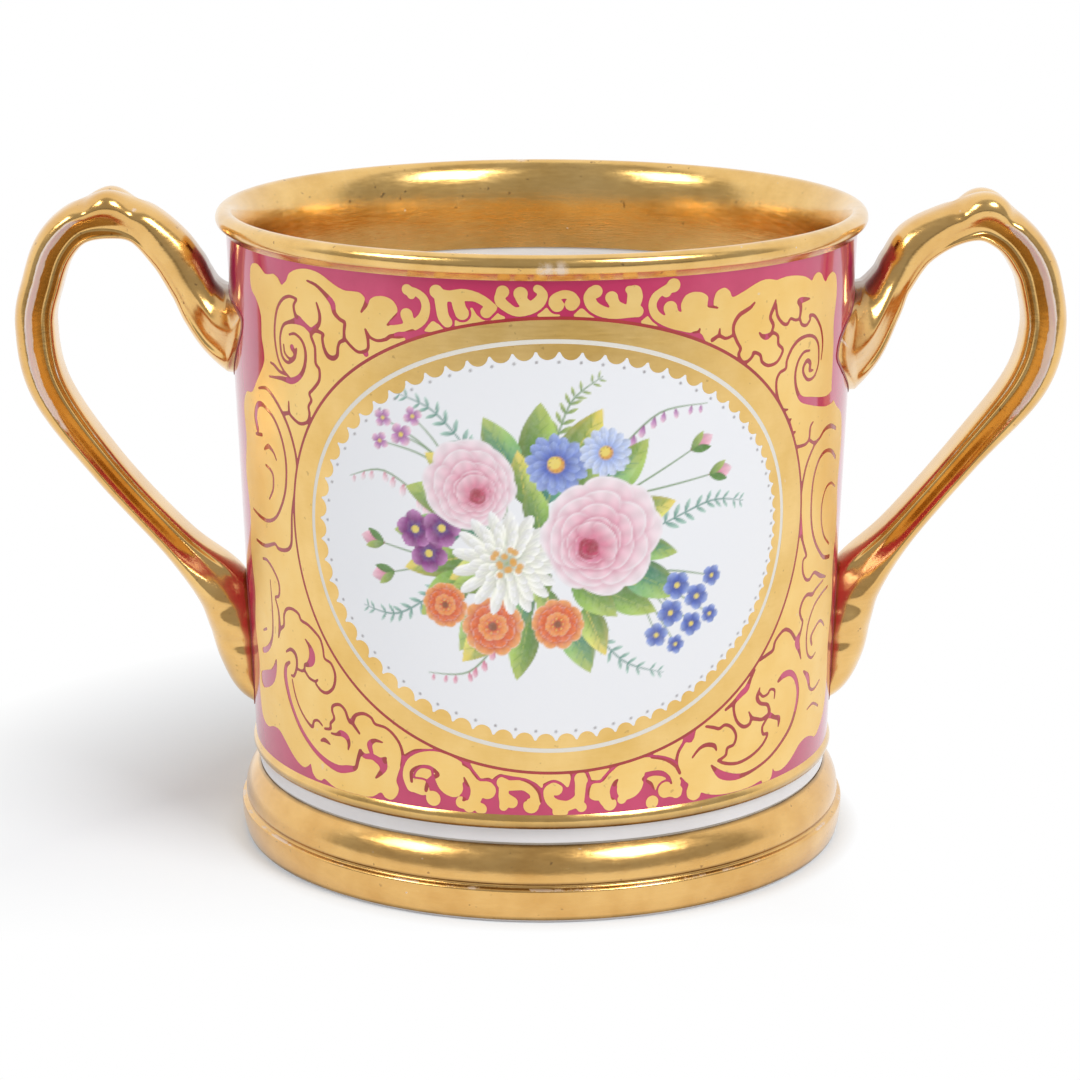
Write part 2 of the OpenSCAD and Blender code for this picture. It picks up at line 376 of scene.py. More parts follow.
def glaze_material(name, tones, rough, mottle, coat, lighter_above=None):
    """Glossy glaze or enamel with a faint mottle and an uneven fired surface, and a lighter tone above a
    height if one is given.
    """
    material, nodes, surface, place = shader(name)
    clouds = nodes.noise(place, mottle, 4.0)
    fine = nodes.noise(place, mottle * 9, 3.0)
    tone = nodes.mix(nodes.span(clouds, 0.3, 0.7), *tones)
    tone = nodes.mix(nodes.span(fine, 0.35, 0.75, 0.0, 0.35), tone, tones[0])
    # Below the height the tone stays darker; on the porcelain that is painted shade under the bead
    if lighter_above:
        level, colour = lighter_above
        height = nodes.add("SeparateXYZ", {0: place})["Z"]
        tone = nodes.mix(nodes.span(height, level * MM, (level + 1) * MM, 0.0, 0.8), tone, colour)
    nodes.feed(surface, {
        "Base Color": tone,
        "Roughness": nodes.span(fine, 0.3, 0.7, rough, rough * 1.9),
        "IOR": 1.5,
        "Coat Weight": coat,
        "Coat Roughness": 0.06,
        "Normal": nodes.bump(fine, 0.05, 0.3)})
    return material


def painted_material(name):
    """White glaze that carries enamel colours held on the mesh."""
    material, nodes, surface, place = shader(name)
    grain = nodes.noise(place, 900.0, 3.0)
    clouds = nodes.noise(place, 60.0, 3.0)
    tone = nodes.mix(nodes.span(grain, 0.4, 0.8, 0.0, 0.10), nodes.layer("enamel"), (0.80, 0.81, 0.84))
    nodes.feed(surface, {
        "Base Color": nodes.mix(nodes.span(clouds, 0.4, 0.7, 0.0, 0.05), tone, (0.90, 0.86, 0.80)),
        "Roughness": nodes.span(grain, 0.3, 0.7, 0.10, 0.22),
        "IOR": 1.5,
        "Coat Weight": 0.25,
        "Coat Roughness": 0.08,
        "Normal": nodes.bump(grain, 0.04, 0.3)})
    return material


# Deep and bright tone of burnished gilding
BURNISHED = ((0.74, 0.44, 0.12), (0.91, 0.60, 0.22))
# Places where lips and hands rubbed the rim
RIM_SPOTS = [((-0.8, -63.2, CUP_H - 2.6), 2.4), ((1.9, -63.2, CUP_H - 2.4), 2.0),
             ((-3.0, 62.0, CUP_H), 2.0)]
# Heights on the foot where shade is painted into grooves and edges or gilding is rubbed off, and how far
# that reaches
FOOT_PAINTED_SHADE = [(PLINTH_H + 0.4, 0.6), (0.7, 0.7), (FOOT_H, 0.5)]
FOOT_WEAR = [(6.75, 0.3)]
gilt_rim = gilt_material("gilt_rim", BURNISHED, (0.15, 0.27), worn_spots=RIM_SPOTS)
# The bead's lower edge is painted darker, as shade under it
gilt_bead = gilt_material("gilt_bead", BURNISHED, (0.15, 0.27), painted_shade_levels=[(BEAD_Z + 0.3, 1.5)])
gilt_handle = gilt_material("gilt_handle", ((0.74, 0.42, 0.12), (0.90, 0.58, 0.21)), (0.15, 0.26),
                            wear_shade_layer="wear")
gilt_foot = gilt_material("gilt_foot", ((0.70, 0.38, 0.10), (0.86, 0.53, 0.18)), (0.16, 0.28),
                          painted_shade_levels=FOOT_PAINTED_SHADE, worn_levels=FOOT_WEAR)
gilt_frame = gilt_material("gilt_frame", ((0.82, 0.52, 0.15), (0.95, 0.66, 0.26)), (0.28, 0.40),
                           film=0.05, metal=0.88, specked=0.35)
gilt_scroll = gilt_material("gilt_scroll", ((0.92, 0.59, 0.17), (0.98, 0.69, 0.26)), (0.36, 0.50),
                            film=0.0, metal=0.55, specked=0.35)
# Porcelain is painted darker below the bead, as shade on the cove and the foot ring; above it, inside the
# cup, it is white
porcelain = glaze_material("porcelain_glaze", ((0.70, 0.67, 0.67), (0.79, 0.77, 0.77)), 0.10, 30.0, 0.3,
                           (BEAD_Z, (0.90, 0.89, 0.88)))
claret = glaze_material("claret_enamel", ((0.48, 0.024, 0.095), (0.63, 0.046, 0.148)), 0.07, 45.0, 0.5)
outline_enamel = glaze_material("outline_enamel", ((0.34, 0.022, 0.024), (0.44, 0.042, 0.038)),
                                0.12, 120.0, 0.3)
slip_edge = glaze_material("slip_edge", ((0.24, 0.020, 0.035), (0.42, 0.08, 0.05)), 0.25, 180.0, 0.2)
slip_clay = glaze_material("slip_clay", ((0.52, 0.47, 0.40), (0.68, 0.63, 0.55)), 0.45, 120.0, 0.0)
painted = painted_material("painted_reserve")


# Turned pieces

def lip_outline(depth):
    """The lip from the end of the wall, over the roll, down to the end of the inside gilding."""
    centre = (LIP_R - LIP_T / 2, CUP_H - LIP_T / 2)
    roll_end = 180 - FLARE_LEAN - WALL_LEAN
    roll = arc(centre, LIP_T / 2 - depth, -60, roll_end, 34)
    x, z = arc(centre, LIP_T / 2, roll_end, roll_end, 1)[0]
    flare = []
    for level in np.arange(FLARE_STEP, FLARE_DEPTH, FLARE_STEP):
        lean = math.radians(WALL_LEAN + FLARE_LEAN * math.exp(-level / FLARE_FADE))
        x = x - FLARE_STEP * math.tan(lean)
        z = z - FLARE_STEP
        flare.append((x + depth * math.cos(lean), z - depth * math.sin(lean)))
    inside = [(wall_r(GILT_END_Z) - WALL_T + depth, GILT_END_Z)]
    return [(wall_r(WALL_END_Z) - depth, WALL_END_Z)] + roll + flare + inside


def foot_outline(depth):
    """The foot's outer face from the height where its gilding starts up to the cove."""
    edge = FOOT_R - depth
    toe = REST_R + COAT - depth
    rows = [(toe + FOOT_BARE_H / 2, FOOT_BARE_H)]
    rows += bowed((toe + TOE_OUT, TOE_H), (edge, PLINTH_H - FACE_DROP), PLINTH_BULGE, 10)
    rows += arc((edge - EDGE_R, PLINTH_H - EDGE_DROP), EDGE_R, 0, 80, 8)
    rows += arc((edge - GROOVE_IN, PLINTH_H + GROOVE_RISE), GROOVE_R, 255, 165, 8)
    rows += bowed((edge - OVOLO_IN, PLINTH_H + OVOLO_RISE), (COVE_R - depth, FOOT_H), OVOLO_BULGE, 22)
    return rows


def on_profile(z, depth=0.0):
    """A point of the wall's outline, a depth under its face."""
    return wall_r(z) - depth, z


inner_z = BODY_Z + FLOOR_T
corner = (wall_r(inner_z + CORNER_R) - WALL_T - CORNER_R, inner_z + CORNER_R)
cove = bowed((COVE_R, BODY_Z), on_profile(BEAD_Z, COAT), -COVE_HOLLOW, 8)
inside_floor = arc(corner, CORNER_R, 0, -90, 14) + [(0.0, inner_z)]
body_outline = [(0.0, BODY_Z)] + cove + lip_outline(COAT) + inside_floor
bead_outline = bowed(on_profile(BEAD_Z), on_profile(BEAD_TOP), BEAD_OUT, 16)
bead_outline += [on_profile(BEAD_TOP, COAT), on_profile(BEAD_Z, COAT)]
rest_inner = REST_R - REST_W + COAT
ring_outline = [(rest_inner, 0.0), (REST_R, 0.0)] + foot_outline(COAT) + [(rest_inner - FOOT_LEAN, FOOT_H)]
ground_outline = [on_profile(BEAD_TOP, COAT), on_profile(BEAD_TOP)]
ground_outline += [on_profile(WALL_END_Z), on_profile(WALL_END_Z, COAT)]
lathe("cup_body", body_outline, porcelain, ("body",))
lathe("rim_gilt", lip_outline(0.0) + lip_outline(COAT)[::-1], gilt_rim, ("rim_gilding",))
lathe("bead_gilt", bead_outline, gilt_bead, ("base_bead",))
lathe("foot_gilt", foot_outline(0.0) + foot_outline(COAT)[::-1], gilt_foot, ("foot_gilding",))
lathe("foot_ring_white", ring_outline, porcelain, ("foot_ring",))
lathe("claret_ground", ground_outline, claret, ("ground_enamel",))
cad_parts["foot_slip"].data.materials.clear()
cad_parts["foot_slip"].data.materials.append(slip_clay)


# Decoration on the flattened wall: arc length from the middle of a face, and height

GRID_STEP = 0.2
ARC_LIMIT = 80.0
# How far a coat of gilding stands on the ground, and how deep its edge goes
GILT_RISE = 0.06
GILT_ROOT = 0.10
LINE_RISE = 0.02
# Steps between two knots of a stroke, and the width of its thinnest part
STROKE_STEPS = 24
THINNEST = 0.12
# An outline keeps a point after this much turning, in radians, or this length
TURN_LIMIT = 0.16
LENGTH_LIMIT = 1.1
# Inner points of a coat: how far apart they are, and how deep inside its edge they start
LATTICE = 1.5
INNER_DEPTH = 0.45
arc_axis = np.arange(-ARC_LIMIT, ARC_LIMIT + GRID_STEP / 2, GRID_STEP)
height_axis = np.arange(GROUND_Z - 1, WALL_END_Z + 1, GRID_STEP)
ARC_GRID, HEIGHT_GRID = np.meshgrid(arc_axis, height_axis)


def on_wall(arcs, heights, rise, turn):
    """Points on the wall, a distance over it; turn is 0 for the front and pi for the back."""
    angle = np.asarray(arcs) / ARC_R + turn
    radius = wall_r(np.asarray(heights)) + rise
    return np.stack([radius * np.sin(angle), -radius * np.cos(angle), np.asarray(heights) + 0 * angle], -1)


def wall_normals(arcs, turn):
    """Directions straight out of the wall."""
    angle = np.asarray(arcs) / ARC_R + turn
    level = math.cos(WALL_TILT)
    down = np.full(len(angle), -math.sin(WALL_TILT))
    return np.stack([level * np.sin(angle), -level * np.cos(angle), down], -1)


def empty_field():
    """A field of signed depth with nothing in it."""
    return np.full(ARC_GRID.shape, -1.0)


def grid_part(low, high):
    """The part of the grid between two (arc, height) corners."""
    c0 = max(0, int((low[0] + ARC_LIMIT) / GRID_STEP))
    c1 = int((high[0] + ARC_LIMIT) / GRID_STEP) + 2
    r0 = max(0, int((low[1] - height_axis[0]) / GRID_STEP))
    r1 = int((high[1] - height_axis[0]) / GRID_STEP) + 2
    return slice(r0, r1), slice(c0, c1)


def stamp(field, knots, widest=math.inf):
    """Adds a brush stroke, given as (arc, height, width) knots, to a field of signed depth."""
    rows = np.asarray(knots, float)
    if len(rows) > 1:
        rows = catmull(rows, STROKE_STEPS)
    for a, z, w in rows[rows[:, 2] <= widest]:
        radius = max(w, THINNEST) / 2
        reach = radius + 3 * GRID_STEP
        part = grid_part((a - reach, z - reach), (a + reach, z + reach))
        depth = radius - np.hypot(ARC_GRID[part] - a, HEIGHT_GRID[part] - z)
        field[part] = np.maximum(field[part], depth)


def fill(field, outline):
    """Adds a closed outline with rounded corners to a field of signed depth."""
    rows = np.asarray(outline, float)
    ring = catmull(np.vstack([rows, rows[:1]]), 6)
    part = grid_part(ring.min(0) - 1, ring.max(0) + 1)
    x = ARC_GRID[part]
    y = HEIGHT_GRID[part]
    inside = np.zeros(x.shape, bool)
    nearest = np.full(x.shape, 1.0)
    for (ax, ay), (bx, by) in zip(ring[:-1], ring[1:]):
        crosses = (ay > y) != (by > y)
        if ay != by:
            inside ^= crosses & (x < (bx - ax) * (y - ay) / (by - ay) + ax)
        length = (bx - ax) ** 2 + (by - ay) ** 2
        if length > 0:
            share = np.clip(((x - ax) * (bx - ax) + (y - ay) * (by - ay)) / length, 0, 1)
            gap = np.hypot(x - ax - share * (bx - ax), y - ay - share * (by - ay))
            nearest = np.minimum(nearest, gap)
    field[part] = np.maximum(field[part], np.where(inside, nearest, -nearest))


def oval(centre, half_w, half_h):
    """Signed depth inside an oval, about true near its edge."""
    x = ARC_GRID - centre[0]
    y = HEIGHT_GRID - centre[1]
    share = np.hypot(x / half_w, y / half_h)
    slope = np.hypot(x / half_w ** 2, y / half_h ** 2) + 1e-9
    return np.clip(share * (1 - share) / slope, -1, 1)


# Sides of a grid cell that an outline joins, for each set of the cell's corners that lie inside it
EDGES = {1: [(3, 0)], 2: [(0, 1)], 3: [(3, 1)], 4: [(1, 2)], 5: [(3, 2), (1, 0)], 6: [(0, 2)], 7: [(3, 2)],
         8: [(2, 3)], 9: [(2, 0)], 10: [(0, 3), (2, 1)], 11: [(2, 1)], 12: [(1, 3)], 13: [(1, 0)],
         14: [(0, 3)]}


def outlines(field):
    """Closed lines round the parts of a field above zero."""
    f = field.copy()
    f[0, :] = f[-1, :] = -1
    f[:, 0] = f[:, -1] = -1
    f[f == 0] = -1e-9
    above = f > 0
    code = (above[:-1, :-1] * 1 + above[:-1, 1:] * 2 + above[1:, 1:] * 4 + above[1:, :-1] * 8)
    follow = {}
    for r, c in zip(*np.nonzero((code > 0) & (code < 15))):
        sides = ((0, r, c), (1, r, c + 1), (0, r + 1, c), (1, r, c))
        for start, end in EDGES[int(code[r, c])]:
            follow[sides[start]] = sides[end]
    loops = []
    while follow:
        first = next(iter(follow))
        key = first
        loop = []
        while key in follow:
            kind, r, c = key
            r2, c2 = (r, c + 1) if kind == 0 else (r + 1, c)
            share = f[r, c] / (f[r, c] - f[r2, c2])
            place = arc_axis[c] + share * (c2 - c) * GRID_STEP
            loop.append((place, height_axis[r] + share * (r2 - r) * GRID_STEP))
            key = follow.pop(key)
        loops.append(np.array(loop))
    return loops


def thin_out(loop):
    """Smooths a closed line and keeps the points that carry its shape."""
    if len(loop) < 8:
        return None
    for _ in range(2):
        loop = 0.25 * np.roll(loop, 1, 0) + 0.5 * loop + 0.25 * np.roll(loop, -1, 0)
    step = np.roll(loop, -1, 0) - loop
    heading = np.arctan2(step[:, 1], step[:, 0])
    kept = [0]
    turned = 0.0
    run = 0.0
    for i in range(1, len(loop)):
        change = (heading[i] - heading[i - 1] + math.pi) % (2 * math.pi) - math.pi
        turned += abs(change)
        run += float(np.hypot(*step[i - 1]))
        if turned > TURN_LIMIT or run > LENGTH_LIMIT:
            kept.append(i)
            turned = 0.0
            run = 0.0
    return loop[kept] if len(kept) > 3 else None


def field_at(field, a, z):
    """Field values at points, between the grid's corners."""
    c = np.clip((a + ARC_LIMIT) / GRID_STEP, 0, field.shape[1] - 1.001)
    r = np.clip((z - height_axis[0]) / GRID_STEP, 0, field.shape[0] - 1.001)
    c0 = c.astype(int)
    r0 = r.astype(int)
    fc = c - c0
    fr = r - r0
    low = field[r0, c0] * (1 - fc) + field[r0, c0 + 1] * fc
    high = field[r0 + 1, c0] * (1 - fc) + field[r0 + 1, c0 + 1] * fc
    return low * (1 - fr) + high * fr


def flat_triangles(field):
    """Triangles over the parts of a field above zero."""
    points = []
    edges = []
    for loop in outlines(field):
        loop = thin_out(loop)
        if loop is None:
            continue
        start = len(points)
        points.extend(loop.tolist())
        count = len(loop)
        edges.extend((start + i, start + (i + 1) % count) for i in range(count))
    stride = int(LATTICE / GRID_STEP)
    inner = field[::stride, ::stride] > INNER_DEPTH
    places = [grid[::stride, ::stride][inner] for grid in (ARC_GRID, HEIGHT_GRID)]
    points.extend(np.stack(places, -1).tolist())
    flat, _, faces, _, _, _ = delaunay_2d_cdt([Vector(p) for p in points], edges, [], 0, 1e-5)
    flat = np.array([(p.x, p.y) for p in flat])
    faces = np.array([face for face in faces if len(face) == 3])
    middle = flat[faces].mean(1)
    return flat, faces[field_at(field, middle[:, 0], middle[:, 1]) > 0]


def coat_piece(name, field, rise, material, turn, nodes=()):
    """A closed thin coat on the wall where a field is above zero."""
    flat, faces = flat_triangles(field)
    used, faces = np.unique(faces, return_inverse=True)
    flat = flat[used]
    faces = faces.reshape(-1, 3)
    top = on_wall(flat[:, 0], flat[:, 1], rise, turn)
    low = on_wall(flat[:, 0], flat[:, 1], -GILT_ROOT, turn)
    count = len(flat)
    normals = wall_normals(flat[:, 0], turn)
    across = np.cross(top[faces[:, 1]] - top[faces[:, 0]], top[faces[:, 2]] - top[faces[:, 0]])
    flipped = np.einsum("ij,ij->i", across, normals[faces[:, 0]]) < 0
    faces[flipped] = faces[flipped][:, ::-1]
    sides = {}
    for a, b, c in faces.tolist():
        for pair in ((a, b), (b, c), (c, a)):
            if (pair[1], pair[0]) in sides:
                del sides[(pair[1], pair[0])]
            else:
                sides[pair] = True
    rim = list(sides)
    polygons = [tuple(f) for f in faces.tolist()]
    polygons += [(c + count, b + count, a + count) for a, b, c in faces.tolist()]
    polygons += [(b, a, a + count, b + count) for a, b in rim]
    points = np.vstack([top, low])
    piece = new_piece(name, points, polygons, material, nodes, sharp=0, outward=False)
    loops = [tuple(normals[v]) for face in faces for v in face]
    loops += [tuple(-normals[v]) for face in faces for v in face[::-1]]
    for a, b in rim:
        edge = points[b] - points[a]
        out = np.cross(edge, normals[a])
        out = out / (np.linalg.norm(out) + 1e-12)
        loops += [tuple(out)] * 4
    piece.data.normals_split_custom_set(loops)


# Oval frame of a face
FRAME_MIDDLE = (0.7, 72.1)
HAIRLINE_HALF = (55.6, 43.4)
HAIRLINE_W = 0.6
WHITE_LINE_MIDDLE = (0.4, 72.2)
WHITE_LINE_HALF = (49.5, 39.2)
WHITE_LINE_W = 0.85
# The lace inside the white line: its plain band, and the oval that its lobes stand on
LACE_BAND = 1.45
LOBE_INSET = 1.1
LOBE_COUNT = 74
# A lobe's radius as a share of its step, and the angle of one lobe near the top
LOBE_SHARE = 0.435
TOP_LOBE = math.radians(90.9)
# The lobes crowd together round this angle on the right side
CROWD_ANGLE = math.radians(-12)
CROWD_SPREAD = math.radians(48)
CROWDING = 0.65
PANEL_HALF = (50.0, 39.7)
# A dot stands off each notch of the lace
DOT_GAP = 0.4
DOT_R = 0.27


def lace_steps(shift):
    """Angles of the lobes, or of the notches after them for a shift of a half, and the lobe radius there."""
    fine = np.linspace(0, 2 * math.pi, 4001)
    away = (fine - CROWD_ANGLE + math.pi) % (2 * math.pi) - math.pi
    crowd = 1 + CROWDING * hump(away, 0.0, CROWD_SPREAD)
    length = np.hypot(WHITE_LINE_HALF[0] * np.sin(fine), WHITE_LINE_HALF[1] * np.cos(fine)) * fine[1]
    run = np.concatenate([[0], np.cumsum((length * crowd)[1:])])
    step = run[-1] / LOBE_COUNT
    wanted = (np.interp(TOP_LOBE, fine, run) + (np.arange(LOBE_COUNT) + shift) * step) % run[-1]
    angle = np.interp(wanted, run, fine)
    return angle, LOBE_SHARE * step / np.interp(angle, fine, crowd)


def lace_points(angle, inset):
    """Points at angles round the picture, a distance inside the white line."""
    inset = inset + WHITE_LINE_W
    return np.stack([WHITE_LINE_MIDDLE[0] + (WHITE_LINE_HALF[0] - inset) * np.cos(angle),
                     WHITE_LINE_MIDDLE[1] + (WHITE_LINE_HALF[1] - inset) * np.sin(angle)], -1)


def shrunk(half, inset):
    """Half axes of an oval, made smaller all round."""
    return half[0] - inset, half[1] - inset


def frame_field():
    """The gilt oval band, and the lace of lobes inside the white line."""
    band = np.minimum(oval(FRAME_MIDDLE, *shrunk(HAIRLINE_HALF, HAIRLINE_W)),
                      -oval(WHITE_LINE_MIDDLE, *WHITE_LINE_HALF))
    inner = oval(WHITE_LINE_MIDDLE, *shrunk(WHITE_LINE_HALF, WHITE_LINE_W))
    lace = -oval(WHITE_LINE_MIDDLE, *shrunk(WHITE_LINE_HALF, WHITE_LINE_W + LACE_BAND))
    angles, radii = lace_steps(0.0)
    for (a, z), radius in zip(lace_points(angles, LOBE_INSET), radii):
        stamp(lace, [(a, z, 2 * radius)])
    return np.maximum(band, np.minimum(inner, lace))


# Scrollwork: gilt shapes laid on the claret ground and claret lines left between them.
# Wings and small fields are outlines of (arc, height) points on the flattened wall. Scrolls and lines are
# strokes of (arc, height, width) knots, and a line's knot without a width has the usual one.
LEFT_WING = [
    (-66.5, 118.8), (-65.4, 119.6), (-63.6, 119.8), (-62, 119.2), (-60.6, 118.4), (-59, 118.5),
    (-57.5, 118.8), (-56, 118.2), (-55, 117.1), (-54.2, 117.5), (-53.3, 118.2), (-52.4, 119.6),
    (-50, 120.7), (-47, 121.1), (-44, 120.6), (-41, 119.1), (-38.6, 118.2), (-36.5, 118.2), (-35, 118.1),
    (-34, 117.3), (-33.8, 116.4), (-33.2, 116.2), (-32.9, 117), (-31.8, 117.7), (-30, 117.9),
    (-28.3, 117.3), (-27.4, 116), (-27.5, 114.8), (-28.4, 113.9), (-29.2, 113), (-28, 112.5),
    (-27.4, 111.6), (-28.5, 110.2), (-30, 100), (-30, 40), (-27, 34), (-24.4, 32.4), (-28.8, 30.8),
    (-29.4, 28.5), (-30.2, 26.5), (-30.6, 25), (-30.1, 23.6), (-30.6, 22.1), (-31.8, 21.1), (-33.2, 21.3),
    (-34.1, 22.2), (-35.2, 21.6), (-36.5, 20.9), (-40, 20.4), (-44, 20.4), (-47, 21), (-49.1, 21.8),
    (-50, 21.2), (-51.6, 21.2), (-52.8, 22.2), (-53.3, 23.8), (-54.1, 23.2), (-55.6, 22.5), (-57.7, 22.9),
    (-60.2, 24.3), (-62.7, 26.1), (-65.2, 27.5), (-68, 27.5), (-72, 26.5), (-75.5, 28), (-76.5, 33),
    (-75.5, 39), (-77, 46), (-75.5, 53), (-77, 61), (-75.5, 69), (-77, 77), (-75, 84), (-75.5, 90),
    (-73, 93.5), (-69.5, 94.2), (-66.5, 97), (-63, 100.8), (-62.6, 103.2), (-63.2, 106), (-63, 110),
    (-64.5, 112.8), (-66.6, 114.5), (-67, 116.8)]
RIGHT_WING = [
    (23, 113.2), (23.8, 115), (23.6, 116.5), (24, 117.6), (24.7, 118.4), (26.1, 118.8), (27.9, 118.5),
    (29, 117.6), (28.9, 116.3), (29.4, 115.9), (30.2, 116), (30.2, 116.9), (30.8, 118.4), (32.4, 119),
    (33.6, 118.2), (34.2, 117.1), (35.8, 117.5), (38.3, 118.5), (40.1, 119.2), (41.9, 119.5),
    (43.6, 119.3), (44.9, 119), (46.9, 119.3), (49.7, 119.2), (52.6, 118.7), (54.4, 118), (55.6, 117.4),
    (56.3, 118.2), (57.6, 118.7), (59, 118.2), (59.9, 117.1), (61, 116.4), (62, 117.3), (64, 117.8),
    (65.8, 116.5), (66.5, 113), (65.8, 108), (66.4, 103), (66.6, 98), (67, 94), (70, 91), (75, 88),
    (76.5, 82), (75.5, 74), (77, 66), (75.5, 58), (77, 50), (75.5, 42), (76.5, 34), (75, 28), (71, 25),
    (68.6, 24.4), (67.1, 25), (63.9, 25.7), (60.7, 25.2), (58.6, 23.9), (56.1, 22.5), (53.6, 21.8),
    (51.4, 22.1), (50.7, 22.9), (50.4, 21.4), (49.5, 20.6), (47.5, 20.6), (47.1, 21.3), (44, 20.8),
    (40, 20.7), (36, 20.9), (33, 21.5), (31.2, 22.2), (30.8, 21.4), (29.6, 20.9), (28.2, 21.6), (27.8, 23),
    (28.2, 24.4), (27, 25.4), (26.2, 26.8), (25.6, 28.9), (25.9, 31.1), (27, 32.6), (30, 40), (30, 100),
    (28.5, 110), (26, 111.2), (24.2, 111.8)]
SMALL_FIELDS = [
    [(-33.3, 109.5), (-31.4, 109), (-29.6, 109.4), (-28.5, 110.5), (-26.4, 110.8), (-26, 109.6),
     (-29.4, 108), (-33, 106.2)],
    [(-22.4, 112.1), (-21.4, 113.4), (-20.6, 114.1), (-19.7, 113.6), (-18.4, 113.7), (-18.2, 112.6),
     (-20.1, 112)],
    [(-17.1, 113.7), (-16.3, 114.8), (-15.2, 115.3), (-14.3, 116.3), (-13.5, 116.9), (-12.6, 115.5),
     (-11.5, 115.2), (-10.3, 115.5), (-9.3, 116.4), (-8.7, 115.8), (-7.7, 115.3), (-8, 114.4),
     (-11.5, 113.8), (-16.8, 112.8)],
    [(-2.2, 115.9), (-1.2, 116.6), (-0.6, 117.2), (0, 116.6), (1, 116), (1.8, 115.8), (1.6, 115),
     (-0.6, 114.8), (-2, 115)],
    [(4.2, 115.8), (5.4, 116.9), (6.2, 116.5), (7, 115.7), (8.3, 115.2), (8, 114.4), (5.5, 114.6),
     (4.2, 114.9)],
    [(16.2, 114.2), (17.6, 115.1), (18.5, 114.2), (19.9, 113.2), (21.5, 112.4), (20.8, 111.6), (19.1, 112),
     (16.4, 113)],
    [(30.6, 109.4), (31.6, 109.9), (33.4, 108.9), (34.3, 109.3), (34.9, 110.2), (35.4, 108.1),
     (36.3, 107.1), (35.9, 105.4), (33.2, 106.8), (30.6, 108.2)],
    [(-31.4, 37), (-29.6, 36.2), (-27.6, 35.2), (-24, 33.6), (-22.4, 32.6), (-24.6, 32.1), (-26.7, 31.6),
     (-28.6, 30.3), (-29.2, 32)],
    [(-15.4, 31), (-9.2, 30), (-1.6, 29.4), (4, 29.4), (4, 27.1), (3.5, 26.1), (2, 27.1), (0.7, 27.4),
     (-0.5, 26.9), (-1.2, 25.9), (-2.7, 27.2), (-5.9, 28.1), (-9, 28.5), (-10.7, 27.5), (-13.1, 27.6),
     (-14.1, 28.6)], [(7.3, 29.7), (12.2, 30.3), (10.9, 28.1), (10.2, 27.1), (8.1, 27.1), (8, 27.9)],
    [(19.6, 31.8), (22.7, 32.8), (26.6, 34.2), (25.6, 30.6), (25.3, 28.8), (24.4, 29.4), (22.7, 30.1)],
    [(-26.6, 26.9), (-25.8, 28), (-24.6, 28.5), (-23.2, 28.3), (-22.5, 27.9), (-22.9, 27.2), (-23.9, 26.4),
     (-24.7, 25.8), (-25.6, 26.2), (-26.5, 26)],
    [(18.6, 26.4), (19.7, 27), (21.1, 27.1), (22.8, 26.6), (23.8, 25.5), (23.1, 25.2), (22.1, 24.9),
     (21.3, 24.1), (20.6, 24.4), (19.9, 25.4)]]
TOP_SCROLLS = [
    [(-25, 119.3, 1.6), (-23.6, 119.1, 1.4), (-22.3, 118.1, 1.5), (-21.9, 116.4, 1.6), (-22.6, 114.4, 1.9),
     (-24.4, 113, 1.9), (-26.6, 112.4, 1.4), (-28.5, 112.2, 1)], [(-25.4, 119.5, 2)],
    [(-24.6, 118.6, 1.6)], [(-25.6, 114.9, 2.4), (-25.2, 113.6, 2)], [(-19.9, 119.5, 2.5)],
    [(-19.2, 119, 2), (-17.4, 118.8, 2), (-15.2, 119.1, 2.2), (-13, 118.9, 1.8), (-11.2, 118, 1.7),
     (-9.9, 116.9, 1.6)], [(-10.2, 116.6, 1.6), (-11, 116.1, 2.1)],
    [(-16, 117.9, 2.3), (-15.7, 116.6, 2.3), (-15.3, 115.8, 2.5)],
    [(-19.1, 118.2, 2.3), (-19, 116.6, 2.1), (-18.7, 115, 2.1), (-18, 114, 1.9)], [(-8.1, 119.9, 2.3)],
    [(-8.4, 119.6, 1.8), (-8.6, 118.4, 1.9), (-7.6, 117.3, 1.8), (-5.8, 116.3, 1.6), (-3.7, 116.8, 2.1),
     (-2, 117.9, 2.2), (-1.2, 119.3, 1.8), (-1.7, 120.4, 1.4)], [(-2.1, 120.5, 1.5)], [(-5, 119.6, 2.5)],
    [(-5, 119.2, 2), (-4.6, 118.2, 1.9), (-3.6, 117.4, 1.8)],
    [(0.6, 117.8, 1.6), (0.7, 118.6, 1.5), (1.5, 119.2, 1.5), (2.6, 119.5, 1.5), (3.8, 119.2, 1.5),
     (4.5, 118.3, 1.5), (4.4, 117.8, 1.6)], [(1.3, 117.5, 2.4)], [(3.8, 117.7, 2.4)], [(8, 119.9, 2.4)],
    [(7.4, 119.8, 2), (6.9, 118.8, 2.1), (7.5, 117.3, 2.1), (9.2, 116.2, 2), (11.5, 115.7, 1.8),
     (13.6, 116, 2.2), (15.4, 116, 2)], [(15.5, 116, 2.2)],
    [(14.8, 117.6, 2.6), (15, 118.6, 2.8), (14.9, 119.5, 2.6)], [(13.9, 120, 1.4)], [(10.8, 118.7, 2.3)],
    [(11, 118.2, 2), (11.6, 117.2, 1.9), (12.8, 116.6, 1.8)], [(22.1, 120.3, 2.6)], [(20.8, 119.1, 1.8)],
    [(21.8, 120.1, 1.8), (20, 119.4, 1.4), (18.7, 118.4, 1.5), (18.2, 116.8, 1.5), (18.9, 115.1, 1.6),
     (20.6, 113.9, 1.7), (22.8, 113.1, 1.9), (25, 112.7, 2.2)],
    [(21.6, 116.2, 2.6), (22.2, 114.9, 2.2), (23.4, 114.2, 2.2)]]
